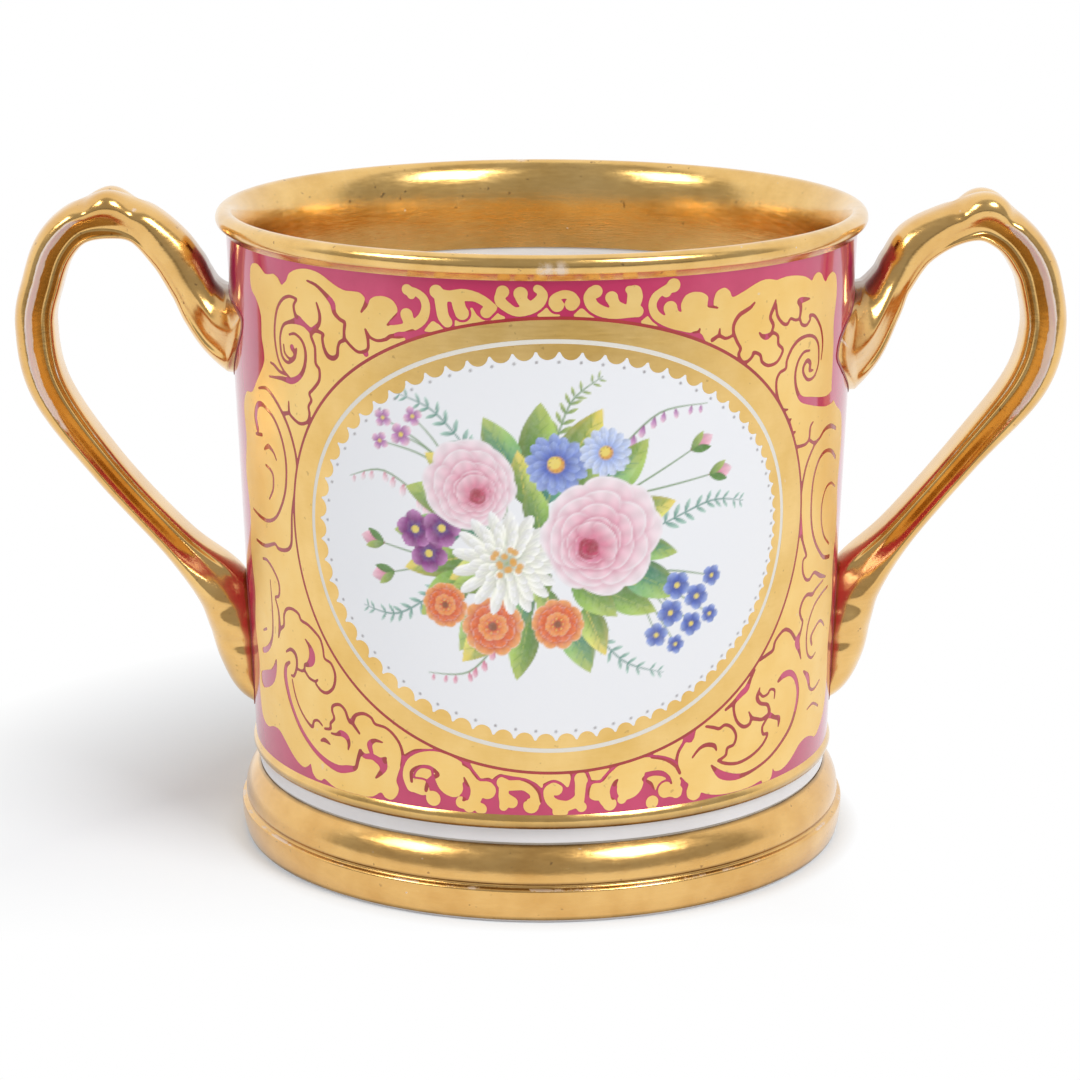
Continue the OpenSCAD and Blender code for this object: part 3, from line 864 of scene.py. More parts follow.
BOTTOM_SCROLLS = [
    [(-27.2, 24.6, 2.4), (-28, 26.6, 2.2), (-27, 29, 2.4), (-24.6, 30.4, 2.6), (-21.5, 30.4, 3.4),
     (-18.4, 29.4, 3.5), (-16, 28, 3), (-14.4, 26.2, 2.6), (-13.9, 24.4, 2.4), (-14.6, 22.6, 2.2)],
    [(-27, 24.8, 2.6), (-25, 24.6, 3.1)], [(-22.7, 22.7, 3)],
    [(-20.4, 28.2, 4.4), (-19.4, 26.4, 5), (-18.6, 25.4, 4)], [(-13, 25.6, 2.8), (-11.9, 25.3, 3.5)],
    [(-16.9, 22.5, 2.4)], [(-15.4, 21.8, 2.4)], [(-13.1, 21.5, 2.3)], [(-8.8, 26.9, 2.4)],
    [(-8.6, 26, 1.8), (-8.7, 24.4, 1.9), (-8.7, 22.9, 1.5)], [(-8.7, 22.2, 1.7)],
    [(-8, 24, 1.6), (-7.1, 23.1, 2.3)],
    [(-8, 26.4, 2), (-6.6, 26.5, 2), (-4.6, 26.5, 2), (-2.8, 25.2, 2), (-2.4, 23.5, 2.1)],
    [(-3.4, 22.5, 3)], [(1.4, 25.8, 2.5)],
    [(1, 26.4, 1.6), (-0.1, 25.4, 1.8), (0.3, 23.6, 1.9), (2, 22.5, 2.2), (4.4, 22.8, 2.2),
     (5.8, 23.8, 2)], [(6.2, 27.7, 2.7)], [(6.1, 27, 2.2), (6, 25.4, 2), (5.8, 23.6, 2.1)],
    [(2.2, 21.3, 3)], [(6.3, 22.1, 2)], [(9.2, 25, 3.5)], [(11.8, 22.4, 2.7)],
    [(24.6, 23.6, 2.4), (25.4, 25.6, 2.2), (24.4, 28, 2.4), (22, 29.3, 2.4), (18.5, 29.5, 3),
     (15, 28.8, 3.2), (12.4, 27.2, 3), (10.8, 25.4, 2.6), (10.8, 23.6, 2.4), (11.6, 22.6, 2.4)],
    [(16.6, 28, 4.2), (15.9, 26, 5), (15.2, 25, 4)], [(14.2, 23.1, 1.8)], [(23.2, 24, 3.2)],
    [(20.4, 21.9, 2.6)], [(25.6, 23.3, 2.6)], [(29.5, 22.2, 2.4)]]
# Claret lines and crescents
LEFT_LINES = [
    [(-47.4, 118.9, 0.3), (-45.2, 118.4), (-43.1, 117.1, 0.7), (-41.3, 115.5, 1.1), (-40.9, 113.8, 0.8),
     (-39.7, 112.7, 0.6), (-38.6, 112.2, 0.6), (-38.8, 110.5), (-38.9, 109, 0.6), (-39.9, 108.4),
     (-40.4, 107.3), (-40.6, 105.9, 0.6), (-41.6, 105.2, 0.8), (-42.9, 105.5, 0.8), (-43.8, 106.9, 0.6),
     (-44.1, 108.7), (-43.8, 109.4), (-45.2, 109.8, 0.6), (-46.4, 109.9, 0.9)],
    [(-38.6, 109.1), (-37.4, 108, 0.45), (-35.9, 107.1, 0.45), (-34.5, 107.3, 0.45), (-33.6, 108, 0.45),
     (-33.6, 109.8, 0.45), (-34.1, 111.5, 0.3)], [(-34.1, 106.9, 1)],
    [(-34, 111.3, 0.4), (-33.1, 110.1, 0.4), (-31.6, 109.6, 0.4), (-29.9, 110), (-28.8, 110.7, 0.6),
     (-27, 110.9, 0.8), (-24.5, 111.9, 0.8)],
    [(-33.5, 117.2, 0.6), (-33.8, 116, 0.7), (-34.8, 114.6, 0.3)],
    [(-27.2, 114.8, 0.7), (-28.6, 113.4, 0.6), (-29.4, 112.7, 0.3)],
    [(-52.6, 105.7, 1.1), (-51.9, 104.4), (-53.2, 103.4, 0.4), (-54.9, 104.2, 0.35), (-55.2, 105.8, 0.3)],
    [(-51.3, 105.6, 0.4), (-52, 103.7, 0.45), (-54.1, 102.6), (-55.8, 103.4), (-56.3, 105.5, 0.45),
     (-56.1, 107.6, 0.45), (-54.9, 109.6), (-52.7, 110.5, 0.6), (-50.2, 111, 1.3), (-48.6, 110.5, 0.9),
     (-47.2, 109.7, 1)],
    [(-53.3, 108, 0.3), (-51.5, 108.4, 0.4), (-49.5, 107.3), (-48.7, 105.1, 0.6), (-49.3, 102.3, 0.7),
     (-50.9, 100.3, 0.9), (-53.4, 99.2, 1.1), (-56.3, 99.2, 0.7), (-58.6, 99, 0.4), (-61, 98.8, 0.3)],
    [(-50.6, 115.1, 0.4), (-52.7, 115.3, 0.45), (-54.9, 114.4), (-56.8, 112.3), (-57.9, 109.1),
     (-58.1, 106.2), (-57.4, 103, 0.45), (-55.9, 101, 0.4), (-54, 99.8, 0.4)],
    [(-54.6, 100.2, 0.4), (-57, 100.4), (-58.8, 101.3), (-60.2, 101.6, 0.3)],
    [(-45.2, 115.1, 0.3), (-44.5, 113, 0.6), (-44.8, 111.2, 0.7), (-46.2, 109.9, 1), (-47, 108.7, 0.6),
     (-46.1, 106.6), (-46.1, 103.7), (-45.2, 102.6), (-45.4, 100.5), (-47, 98.7), (-48.2, 97.6, 0.45),
     (-47.7, 96.4, 0.45), (-48.6, 95.1, 0.45), (-48.4, 93.7), (-49.1, 92.1), (-51.3, 91.4), (-53.4, 92.1),
     (-54.5, 93), (-54.5, 95.1, 0.3)], [(-54.5, 92.9), (-56.6, 92.4, 0.7)],
    [(-50.6, 114.9, 0.4), (-51.5, 113.7), (-51.1, 112, 0.7), (-50, 111.3, 1.2)],
    [(-66, 95.6, 0.3), (-62.7, 96.2, 0.55), (-59.9, 95.1, 0.6), (-57, 92.6, 0.6), (-54.9, 89.8, 0.55),
     (-53.4, 86.2), (-52.9, 83.4), (-53, 80.5)],
    [(-67.6, 87.4, 1.2), (-68.3, 89.6, 1.4), (-67.2, 91.9, 1.1), (-65.2, 92.7, 0.9), (-63.1, 92.3, 0.6),
     (-60.2, 90.9, 0.55), (-58.1, 88.4, 0.55), (-56.8, 85.1), (-56.5, 81.5), (-57.2, 77.5), (-59, 74),
     (-61.5, 71.2), (-65, 69.8, 0.6), (-69, 69.8, 0.6), (-73, 70.4, 0.4)],
    [(-64.9, 83.9, 0.3), (-63.9, 84.5, 0.7), (-62.7, 84.9, 0.8), (-61, 84.1, 0.45), (-60, 82.8, 0.3)],
    [(-64.6, 80.9, 0.4), (-62.5, 80.3), (-61.6, 79.1), (-62, 76.6, 0.4), (-63.8, 74.4, 0.3)],
    [(-68.6, 86.2), (-65.6, 86.6, 0.6)],
    [(-54.4, 77, 0.3), (-55.4, 73, 0.45), (-55.8, 69, 0.55), (-56.2, 67, 0.6), (-57.4, 65.8, 0.6),
     (-59.5, 65.2, 0.6), (-61.3, 65.2, 0.6), (-62.5, 65.8), (-64.9, 65, 0.6), (-67.7, 64.3, 0.6),
     (-72, 64.4)],
    [(-68.8, 61.4, 0.4), (-66.6, 61.6), (-64.1, 60.5), (-62, 58.6), (-61.6, 56.8), (-62.2, 55.4, 0.45),
     (-63.6, 54.8, 0.45), (-62.7, 52.9), (-62.4, 51.1, 0.6), (-62.5, 48.9, 0.9), (-63.2, 46.9, 0.3)],
    [(-65.6, 58, 0.2), (-65.4, 53, 0.4), (-65.6, 48.5), (-66.6, 45.5, 0.7), (-69, 43.2, 1), (-72, 42, 1)],
    [(-71, 46.4, 0.3), (-69, 47.2)],
    [(-64.9, 41.8), (-65.8, 39.8, 1.5), (-67.4, 38, 2.5), (-70, 36.8, 3.2), (-73, 35.8, 3.2)],
    [(-62.4, 48.8, 0.7), (-60.6, 50), (-60.3, 52.1), (-59.1, 53.6), (-57, 54.1), (-54.9, 53.6),
     (-54.1, 52.5), (-52, 52.1), (-49.9, 51.1), (-48.4, 50, 0.45), (-47.7, 48.2, 0.4), (-47.4, 46.4, 0.4),
     (-45.6, 45.7, 0.45), (-44.6, 43.6), (-45.2, 41.1), (-47, 39.6), (-48.8, 39.6), (-50.3, 40.6, 0.4)],
    [(-49.7, 41.6, 0.3), (-50.6, 41.1, 0.4), (-52.4, 41.4, 0.45), (-53.8, 42.5), (-54.8, 42.2, 0.4),
     (-56.4, 42.3, 0.4)],
    [(-53.1, 49, 0.2), (-51.8, 47.9, 0.8), (-51.1, 46.4, 1.6), (-51.4, 45, 1.7), (-52.6, 44, 0.9),
     (-53.6, 43.7), (-53.8, 42.6, 0.4)],
    [(-60.2, 44.8, 0.3), (-58.4, 45.7, 0.6), (-56.8, 45.2, 0.8), (-56.3, 43.6, 0.6), (-56.8, 41.8),
     (-57.7, 40.5), (-58.7, 40.4, 0.3)],
    [(-59.1, 42.9), (-60.6, 41.8, 0.9), (-61.1, 39.6, 1.2), (-60.4, 36.8, 1.1), (-58.8, 33.6, 0.9),
     (-55.9, 30, 0.9), (-52, 27.1, 0.95), (-48.4, 25.5, 1.1), (-44.9, 24.8, 1.4), (-42, 25.4, 1.3),
     (-40.2, 26, 0.7), (-39.5, 27.9, 0.7), (-38.8, 29.6, 0.8)],
    [(-58.4, 39.6, 0.3), (-57.7, 37.1, 0.35), (-56.3, 34.6, 0.35), (-54.1, 32.5, 0.4), (-52.2, 31.6, 0.6),
     (-51.5, 32.9, 0.4), (-50.2, 33.3, 0.4), (-49, 32.6, 0.3)],
    [(-48.3, 32.1, 0.4), (-46.6, 32.5, 0.45), (-46.5, 33.6, 0.45), (-45.4, 34.8, 0.45),
     (-45.9, 36.2, 0.45), (-45.6, 37.3), (-43.8, 37.9), (-42.4, 37.1), (-41.6, 35.4, 0.6),
     (-40.8, 35.1, 1), (-39.7, 36.6, 0.6), (-37.7, 37.3), (-35.9, 36.8, 0.45), (-35, 35.7, 0.45),
     (-32.7, 35.4, 0.4), (-30.9, 34.3, 0.45), (-29.5, 32.5, 0.45), (-29, 30.4), (-29.4, 28.2, 0.4)],
    [(-40.6, 34.9, 0.7), (-38.9, 33.1, 0.4)], [(-49.6, 29.4, 0.3), (-48.4, 29.8, 0.8), (-47, 29.3, 0.3)],
    [(-46.4, 31.6, 0.3), (-44.9, 31.7), (-43.7, 32.2, 1.1), (-42.3, 31.8, 1.1), (-41.7, 30.6, 0.7),
     (-42, 29.2, 0.2)], [(-33.4, 32.3, 0.2), (-35.2, 32.4, 0.6), (-36.5, 31.4, 1.1), (-36.2, 30, 0.9)],
    [(-38.8, 29.4, 0.8), (-37.7, 28.8, 0.9), (-35.9, 29, 1.1), (-34.1, 28.4, 1.4), (-32.8, 29.3, 0.4)],
    [(-33, 28.8, 0.7), (-33.2, 27.4, 1.2), (-34.2, 26, 0.8), (-35.4, 24.8, 0.2)],
    [(-34.2, 28.2, 1.2), (-33.8, 27.4, 1)]]
RIGHT_LINES = [
    [(39.4, 115.5, 0.3), (38.3, 114.6, 0.6), (36.1, 113.7, 0.7), (34.9, 112.3, 0.6), (34.7, 110.7),
     (35.6, 108.7), (36.5, 107.3), (36.1, 106.2), (37, 104.8), (38.3, 104.7), (39.4, 105.5), (39.7, 106.2),
     (41.3, 105.5), (41.9, 104.1), (43.6, 103.2), (45.8, 103.5), (47.2, 105), (47.2, 105.9), (46, 106.9),
     (45.8, 108.4), (44.5, 109.2), (42.9, 108.7, 1), (41.6, 109, 0.6), (40.8, 109.8, 0.2)],
    [(30.2, 109.6, 0.7), (31.6, 110.2), (33, 109.6, 0.45), (34.4, 109.9, 0.4), (34.8, 110.6, 0.4)],
    [(31.6, 110.3), (31.7, 111.6, 0.2)], [(26.2, 111, 0.9), (27.3, 111.4, 0.4), (27.5, 112, 0.2)],
    [(29.2, 116), (31.2, 115.4, 0.2)],
    [(44, 109.4, 0.4), (44.4, 110.7, 0.6), (43.5, 112.3, 0.6), (44.4, 114.2, 0.7), (44.8, 115.4, 0.2)],
    [(44.9, 114.4, 0.4), (45.4, 112.3), (46.9, 110.7), (48.3, 110.3), (49.2, 111.2, 0.4),
     (50.8, 110.7, 0.4), (52, 111), (52.2, 113, 0.8), (51.4, 114.1, 0.8), (52.6, 114.2, 1),
     (55.1, 114.1, 0.2)],
    [(52, 111), (52.8, 109.6), (54.4, 109.2), (55.6, 110.1), (55.4, 110.9, 0.45), (57.2, 110.5),
     (59.2, 108.7), (60.4, 106.9), (61.1, 104.4, 0.45), (60.8, 101.6, 0.3)],
    [(46.9, 95.5, 0.8), (46.1, 98), (46, 100.1), (46.9, 101.4), (48.5, 101.9), (48.7, 103.4),
     (50.1, 105.5, 0.6), (52.2, 106.8, 0.6), (55.1, 107.1), (57.6, 106.4), (59.2, 104.8),
     (59.7, 102.6, 0.45), (59.6, 100.6, 0.4), (58.3, 98.8, 0.45), (56.1, 98.5), (54.4, 99.8, 0.55),
     (54.1, 101.2, 0.6), (55.3, 102.3, 0.7), (56.5, 101.6, 0.8), (56.4, 100.3, 0.6), (57.6, 100.1, 0.3)],
    [(56.1, 104.1, 0.3), (54, 104.1, 0.45), (52.2, 102.6), (51.5, 100.1, 0.55), (52.2, 97.3, 0.7),
     (54, 95.2, 1), (57.5, 94.2, 1.4), (61, 93.4, 1.6), (64.4, 92.9, 1.9), (67.5, 93.2, 2.4)],
    [(46.6, 96.2, 0.7), (48.3, 93.7, 0.9), (50.3, 91, 1), (51.8, 88, 1), (53.2, 85.2, 0.8), (53.9, 82.6)],
    [(48.4, 94), (49.8, 93.9, 0.2)], [(50.2, 91.6, 0.6), (51, 91.9, 0.2)],
    [(51.6, 88.9, 0.7), (52.6, 89.2, 0.2)],
    [(53.2, 86.1), (56.1, 86), (57.6, 86.8), (57.9, 89.1), (59, 89.9, 0.2)],
    [(57.6, 86.7), (59.7, 85.7), (61.9, 86), (64.4, 87.3, 0.6), (67.5, 87.4, 0.8), (71, 86.2, 0.6)],
    [(55.6, 74.5, 0.4), (55.8, 77), (56.3, 79.5), (57.4, 82.2), (59.7, 84.9), (61, 85.6, 0.4)],
    [(72, 80.2, 0.7), (70, 81.6, 0.7), (67.6, 82.6, 0.6), (64.7, 82.8, 0.6), (62.2, 81.6, 0.55),
     (60.5, 78.8), (60, 75.5), (60.2, 71.5), (61.2, 68, 0.55), (63, 65.2, 0.6), (65.4, 62.9, 0.6),
     (68, 61.2, 0.7), (72, 60.4, 0.7)],
    [(73, 74.2, 0.3), (70, 75.6, 0.4), (67, 75.2, 0.45), (65.2, 72.6, 0.45), (65.4, 69, 0.4),
     (67.4, 65.6, 0.4), (71, 63.2, 0.4)],
    [(55.8, 73, 0.7), (56.1, 70, 1.3), (56.7, 68.2, 0.9), (57.4, 66.6), (58.6, 64.6, 0.6),
     (59.2, 63.6, 0.4)],
    [(59.1, 63.4, 0.4), (57.9, 62.9, 0.4), (58, 60.7), (59.3, 58.9), (61.1, 58.4), (63.2, 59.3),
     (66.4, 57.9, 0.8), (70, 56.8, 0.3)],
    [(68.5, 56.5, 0.3), (64.6, 55.7, 0.4), (62.9, 55, 0.7), (60.4, 55.5, 0.6), (58.6, 54.6, 0.6),
     (57.7, 52.9, 0.6), (58.3, 51.4), (59.1, 50.4), (58.5, 48.6, 0.6), (57.3, 46.9, 1.7), (58.2, 45, 0.9),
     (59.3, 42.8, 0.2)],
    [(72, 54.3, 0.4), (68.2, 53.9, 0.4), (64.3, 52.5, 0.45), (61.8, 49.6, 0.45), (61.2, 46.4, 0.45),
     (62.1, 43.2, 0.45), (64.3, 41.8, 0.4), (66.4, 42.4, 0.2)],
    [(71, 46.6, 0.3), (69.4, 47.8, 0.45), (67.5, 48.4, 0.45), (65, 47.5, 0.45), (63.4, 46.2, 0.7),
     (64, 44.6, 0.6)],
    [(60.7, 40, 0.3), (62.9, 38.3, 1.2), (64.3, 35.6, 0.6), (66.8, 34.8, 0.45), (70, 35.7, 0.4)],
    [(63.4, 31.4, 0.2), (66.4, 31.9, 0.4), (70, 30.4, 0.4)],
    [(45.2, 46), (47.1, 46.6, 0.6), (48.8, 47.1, 0.6), (49.3, 48.6), (50.7, 49.8), (52.5, 50.4, 0.6),
     (54.6, 49.5, 0.6), (56.3, 47.7, 0.7)],
    [(51.1, 40.4, 0.6), (52.9, 41.2, 1.2), (55.4, 41, 1.1), (57.5, 39.3, 1), (58.7, 36.4, 0.95),
     (58.2, 33.2, 0.85), (56.4, 30, 0.75), (53.2, 27.5, 0.6), (49.3, 25.4), (45, 24.1), (41.4, 23.6, 0.8),
     (38.6, 23.9, 1.3), (35.7, 25, 1.4), (33.4, 27.2, 0.3)],
    [(35, 27.9, 0.4), (36.8, 27), (40, 26.4), (43.6, 27), (46.4, 28.2), (47.9, 29.5), (48.3, 30.5),
     (47, 30.7), (46.6, 32.1), (47.5, 33.2), (48.6, 34.4, 0.6)],
    [(51.8, 31, 0.2), (51.9, 32.7, 0.9), (50.4, 33.3, 0.7), (48.6, 34.1, 1), (46.4, 33.8, 0.6),
     (44.6, 34.3, 0.6), (43.4, 34.8, 0.6), (42.5, 36.2, 0.2)],
    [(43.2, 34.6), (42.8, 33.6, 0.6), (41.1, 33.5, 0.6), (39.3, 35), (38.4, 37.5), (38.7, 39.3)],
    [(36.4, 37.8), (38.6, 39, 0.8), (40.2, 40.2, 1.1), (41.6, 41, 1.2), (42.6, 42.8, 0.6),
     (43.6, 44.2, 0.4)],
    [(45.4, 40.4, 0.2), (44.7, 38.6, 0.8), (45.7, 37.2, 0.6), (47.9, 36.4, 0.6), (48.6, 35, 0.8)],
    [(45.2, 39.5, 0.4), (46.4, 38.4, 0.4), (47.9, 38.6, 0.4), (48.6, 39.3, 0.4), (50, 38.8, 0.4),
     (50, 37.1, 0.2)],
    [(31.8, 35.3, 0.4), (33.6, 34.8), (35, 34.3), (36.4, 34.8), (38.2, 33.9), (39.3, 32.1), (38.8, 30.4),
     (37.2, 30), (36.8, 28.6), (35, 27.9, 0.45)],
    [(28.9, 29.6, 0.3), (30.4, 31.1), (32.1, 31.6, 0.7), (33.9, 31.1, 0.7), (34.5, 30, 0.2)],
    [(26.8, 32.8), (25.7, 31.1), (25.4, 28.9), (26.1, 27.1)],
    [(26.4, 25.9, 0.3), (27.5, 24.3, 0.6), (27.2, 22.8, 0.9)]]
MIDDLE_LINES = [
    [(-23.6, 32.2, 0.3), (-26.3, 31.7), (-28.5, 30.3)],
    [(-27.2, 25.5), (-27.2, 27.4), (-25.6, 28.6), (-23.3, 28.8, 0.6), (-21.6, 27.6, 0.6),
     (-22.8, 26.8, 0.7), (-23.8, 25.5, 0.7), (-24.2, 24.1, 0.6)],
    [(-16.4, 27.6, 0.1), (-15.9, 26.2, 0.7), (-15.7, 24.9, 1.1), (-16.1, 23.6, 0.8), (-16.6, 22.9, 0.3)],
    [(-16.4, 30.2, 0.6), (-15.1, 29.5), (-14.3, 28.4), (-13.2, 27.3, 0.4), (-11.4, 27.5, 0.4),
     (-10.2, 26.4, 0.45)],
    [(-10.4, 27.6, 0.4), (-9.2, 28.4, 0.4), (-7.9, 28, 0.4), (-5.8, 27.9, 0.4), (-3.5, 27, 0.4),
     (-1.9, 25.3), (-1.4, 23.3)], [(-6.6, 25, 0.6), (-5, 24.6, 1.1), (-4.6, 23.8, 0.8)],
    [(1.8, 24.3, 0.3), (3.3, 24, 1), (4.7, 24.7), (3.6, 25.4), (2.5, 26.7, 0.4), (0.9, 27.4, 0.4),
     (-0.9, 26.7, 0.4)], [(4.4, 28.8, 0.45), (4.5, 26.9), (3.8, 25.7, 0.4)],
    [(7.3, 28.7, 0.45), (7.9, 27), (7.5, 25.2), (7.4, 23.2, 0.6)],
    [(8, 27.1, 0.4), (10.1, 27.1, 0.4), (11.4, 28.6, 0.45), (12.4, 29.5, 0.6)],
    [(13.4, 27.2, 0.1), (12.8, 26.5, 0.7), (12.4, 25, 1.1), (12.5, 23.6, 0.8)],
    [(24.4, 25.1, 0.3), (23.5, 26.7), (21, 27.6), (18.5, 26.8), (20, 25.6, 0.6), (20.7, 23.7, 0.7)],
    [(20.2, 30.9), (22.8, 30.2), (25.1, 28.6), (26.2, 26.9)]]


# Lines up to this width were drawn in dark enamel; wider gaps show the ground
DARK_LINE_W = 1.0
# Usual width of a line, and how much wider every line was left than its knots say
LINE_W = 0.5
LINE_SPREAD = 0.18
# Bare strip at the lower and the upper end of the ground
EDGE_GAP = 0.05
# Ground left between a scroll and the small field beside it
FIELD_GAP = 0.45


def scroll_fields():
    """Where the scrolls are gilt, and where dark lines run between them."""
    gilt = empty_field()
    for outline in (LEFT_WING, RIGHT_WING):
        fill(gilt, outline)
    small = empty_field()
    for outline in SMALL_FIELDS:
        fill(small, outline)
    scrolls = empty_field()
    for stroke in TOP_SCROLLS + BOTTOM_SCROLLS:
        stamp(scrolls, stroke)
    small = np.minimum(small, -scrolls - FIELD_GAP)
    gilt = np.maximum(np.maximum(gilt, scrolls), small)
    outside = -oval(FRAME_MIDDLE, *HAIRLINE_HALF)
    wall = np.minimum(HEIGHT_GRID - BEAD_TOP - EDGE_GAP, WALL_END_Z - EDGE_GAP - HEIGHT_GRID)
    gilt = np.minimum(gilt, np.minimum(outside, wall))
    gaps = empty_field()
    dark = empty_field()
    for stroke in LEFT_LINES + RIGHT_LINES + MIDDLE_LINES:
        spread = [(a, z, (width[0] if width else LINE_W) + LINE_SPREAD) for a, z, *width in stroke]
        stamp(gaps, spread)
        stamp(dark, spread, DARK_LINE_W)
    hairline = np.minimum(-outside, -oval(FRAME_MIDDLE, *shrunk(HAIRLINE_HALF, HAIRLINE_W)))
    return np.minimum(gilt, -gaps), np.maximum(np.minimum(dark, gilt), hairline)


frame_shape = frame_field()
scroll_shape, line_shape = scroll_fields()
for side, turn in (("front", 0.0), ("back", math.pi)):
    coat_piece(f"{side}_frame_gilt", frame_shape, GILT_RISE, gilt_frame, turn, (f"{side}_frame",))
    coat_piece(f"{side}_scrolls_gilt", scroll_shape, GILT_RISE, gilt_scroll, turn)
    coat_piece(f"{side}_lines_enamel", line_shape, LINE_RISE, outline_enamel, turn)


# Painted reserve: enamel colours laid with soft brushes on a fine sheet
PANEL_CELLS = 310
# Cells of the fine face that one cell of the back of the panel stands for
PANEL_STRIDE = 10
# How far the panel stands on the wall, how far paint stands on the panel, and how deep its edge goes
PANEL_RISE = 0.03
PAINT_RISE = 0.02
PANEL_ROOT = 0.12
PANEL_WHITE = np.array((0.82, 0.82, 0.84))
# The white line round the picture is a darker, warmer white than the panel
LINE_TINT = np.array((0.74, 0.70, 0.62))
DOT_TINT = (0.20, 0.17, 0.17)
DOT_COVER = 0.8
DOT_SOFT = 0.25
# Width of the soft edge of a brush line
LINE_SOFT = 0.25


class Painting:
    """Enamel colours on the points of a sheet."""

    def __init__(self, arcs, heights):
        self.arcs = arcs
        self.heights = heights
        self.colour = np.tile(PANEL_WHITE, (len(arcs), 1))
        self.body = np.zeros(len(arcs))

    def near(self, a, z, reach):
        """Points in a square round a place."""
        return np.nonzero((np.abs(self.arcs - a) < reach) & (np.abs(self.heights - z) < reach))[0]

    def local(self, index, a, z, angle):
        """Distances of points from (a, z), along an angle and across it."""
        x = self.arcs[index] - a
        y = self.heights[index] - z
        along = x * math.cos(angle) + y * math.sin(angle)
        return along, -x * math.sin(angle) + y * math.cos(angle)

    def lay(self, index, cover, colour):
        """Covers points with a colour."""
        cover = np.clip(cover, 0, 1)
        self.colour[index] = self.colour[index] * (1 - cover[:, None]) + colour * cover[:, None]
        self.body[index] = np.maximum(self.body[index], cover)

    def petal(self, a, z, angle, length, width, tints, belly, point, shade, soft=0.2, opacity=1.0):
        """A petal or leaf from its base at (a, z); tints run from base to tip."""
        index = self.near(*around(a, z, 0.5 * length, angle), 0.62 * length + 0.5 * width)
        along, across = self.local(index, a, z, angle)
        u = along / length
        v = across / (width / 2)
        inside = (u > 0) & (u < 1)
        index, u, v = index[inside], u[inside], v[inside]
        bend = math.log(0.5) / math.log(belly)
        half = np.sin(math.pi * u ** bend) ** point
        cover = (half - np.abs(v)) * width / 2 / soft
        stops = np.linspace(0, 1, len(tints))
        table = np.array(tints, float)
        colour = np.stack([np.interp(u, stops, table[:, k]) for k in range(3)], -1)
        colour = colour * (1 - shade * np.clip(v, -1, 1) * 0.5)[:, None]
        veins = 1 - 0.05 * np.cos(v * 9 + u * 3)
        self.lay(index, np.clip(cover, 0, 1) * opacity, np.clip(colour * veins[:, None], 0, 1))

    def lobe(self, a, z, angle, length, width, deep, pale, phase, soft=0.22, under=0.45):
        """A rounded petal about (a, z): deep at its base, pale at its lit rim, a soft shadow under it."""
        index = self.near(a, z, 0.75 * max(length, width))
        along, across = self.local(index, a, z, angle)
        u = along / (length / 2)
        v = across / (width / 2)
        far = np.hypot(u, v) * (1 + 0.05 * np.sin(3 * np.arctan2(v, u) + phase))
        deep = np.asarray(deep, float)
        pale = np.asarray(pale, float)
        self.lay(index, np.clip((1.24 - far) / 0.34, 0, 1) * under, deep * 0.86)
        share = np.clip(0.55 + 0.6 * u, 0, 1) ** 1.3
        colour = deep + (pale - deep) * share[:, None]
        colour = colour * (1 - 0.06 * np.cos(v * 8 + u * 2 + phase))[:, None]
        rim = np.clip(1 - np.abs(far - 0.92) / 0.12, 0, 1) * np.clip(0.4 + u, 0, 1) * 0.5
        colour = colour + (np.array(WHITE) - colour) * rim[:, None]
        self.lay(index, np.clip((1 - far) * min(length, width) / 2 / soft, 0, 1), np.clip(colour, 0, 1))

    def line(self, knots, colour, opacity):
        """A tapering brush line through (arc, height, width) knots."""
        rows = np.asarray(knots, float)
        if len(rows) > 2:
            rows = catmull(rows, 6)
        middle = rows[:, :2].mean(0)
        reach = np.abs(rows[:, :2] - middle).max() + rows[:, 2].max() + 0.5
        index = self.near(middle[0], middle[1], reach)
        x = self.arcs[index]
        y = self.heights[index]
        best = np.full(len(index), -9.0)
        for p, q in zip(rows[:-1], rows[1:]):
            dx, dy = q[0] - p[0], q[1] - p[1]
            share = np.clip(((x - p[0]) * dx + (y - p[1]) * dy) / (dx * dx + dy * dy + 1e-9), 0, 1)
            gap = np.hypot(x - p[0] - share * dx, y - p[1] - share * dy)
            best = np.maximum(best, (p[2] + (q[2] - p[2]) * share) / 2 - gap)
        self.lay(index, np.clip(best / LINE_SOFT + 0.5, 0, 1) * opacity, np.asarray(colour, float))

    def dot(self, a, z, radius, colour, opacity, soft):
        """A round dot with a soft edge."""
        index = self.near(a, z, radius + soft)
        gap = np.hypot(self.arcs[index] - a, self.heights[index] - z)
        self.lay(index, np.clip((radius - gap) / soft + 0.5, 0, 1) * opacity, np.asarray(colour, float))


# Enamel colours, as seen
WHITE = (0.84, 0.83, 0.84)
BLUSH = (0.82, 0.56, 0.62)
PINK = (0.72, 0.27, 0.38)
ROSE = (0.56, 0.06, 0.14)
CRIMSON = (0.34, 0.015, 0.04)
CREAM = (0.80, 0.79, 0.68)
SAGE = (0.42, 0.48, 0.36)
AMBER = (0.72, 0.34, 0.04)
LEMON = (0.80, 0.62, 0.12)
ORANGE = (0.80, 0.17, 0.02)
APRICOT = (0.84, 0.36, 0.10)
SCARLET = (0.58, 0.045, 0.01)
BLUE = (0.08, 0.13, 0.46)
SKY = (0.33, 0.42, 0.72)
HAZE = (0.60, 0.66, 0.80)
NAVY = (0.025, 0.04, 0.20)
PURPLE = (0.20, 0.02, 0.17)
LILAC = (0.52, 0.22, 0.47)
LEAF = (0.09, 0.22, 0.035)
LIME = (0.42, 0.50, 0.11)
TEAL = (0.03, 0.20, 0.15)
MIST = (0.42, 0.62, 0.52)
BROWN = (0.20, 0.08, 0.03)


def around(a, z, reach, angle):
    """The place at a distance and an angle from another."""
    return a + reach * math.cos(angle), z + reach * math.sin(angle)


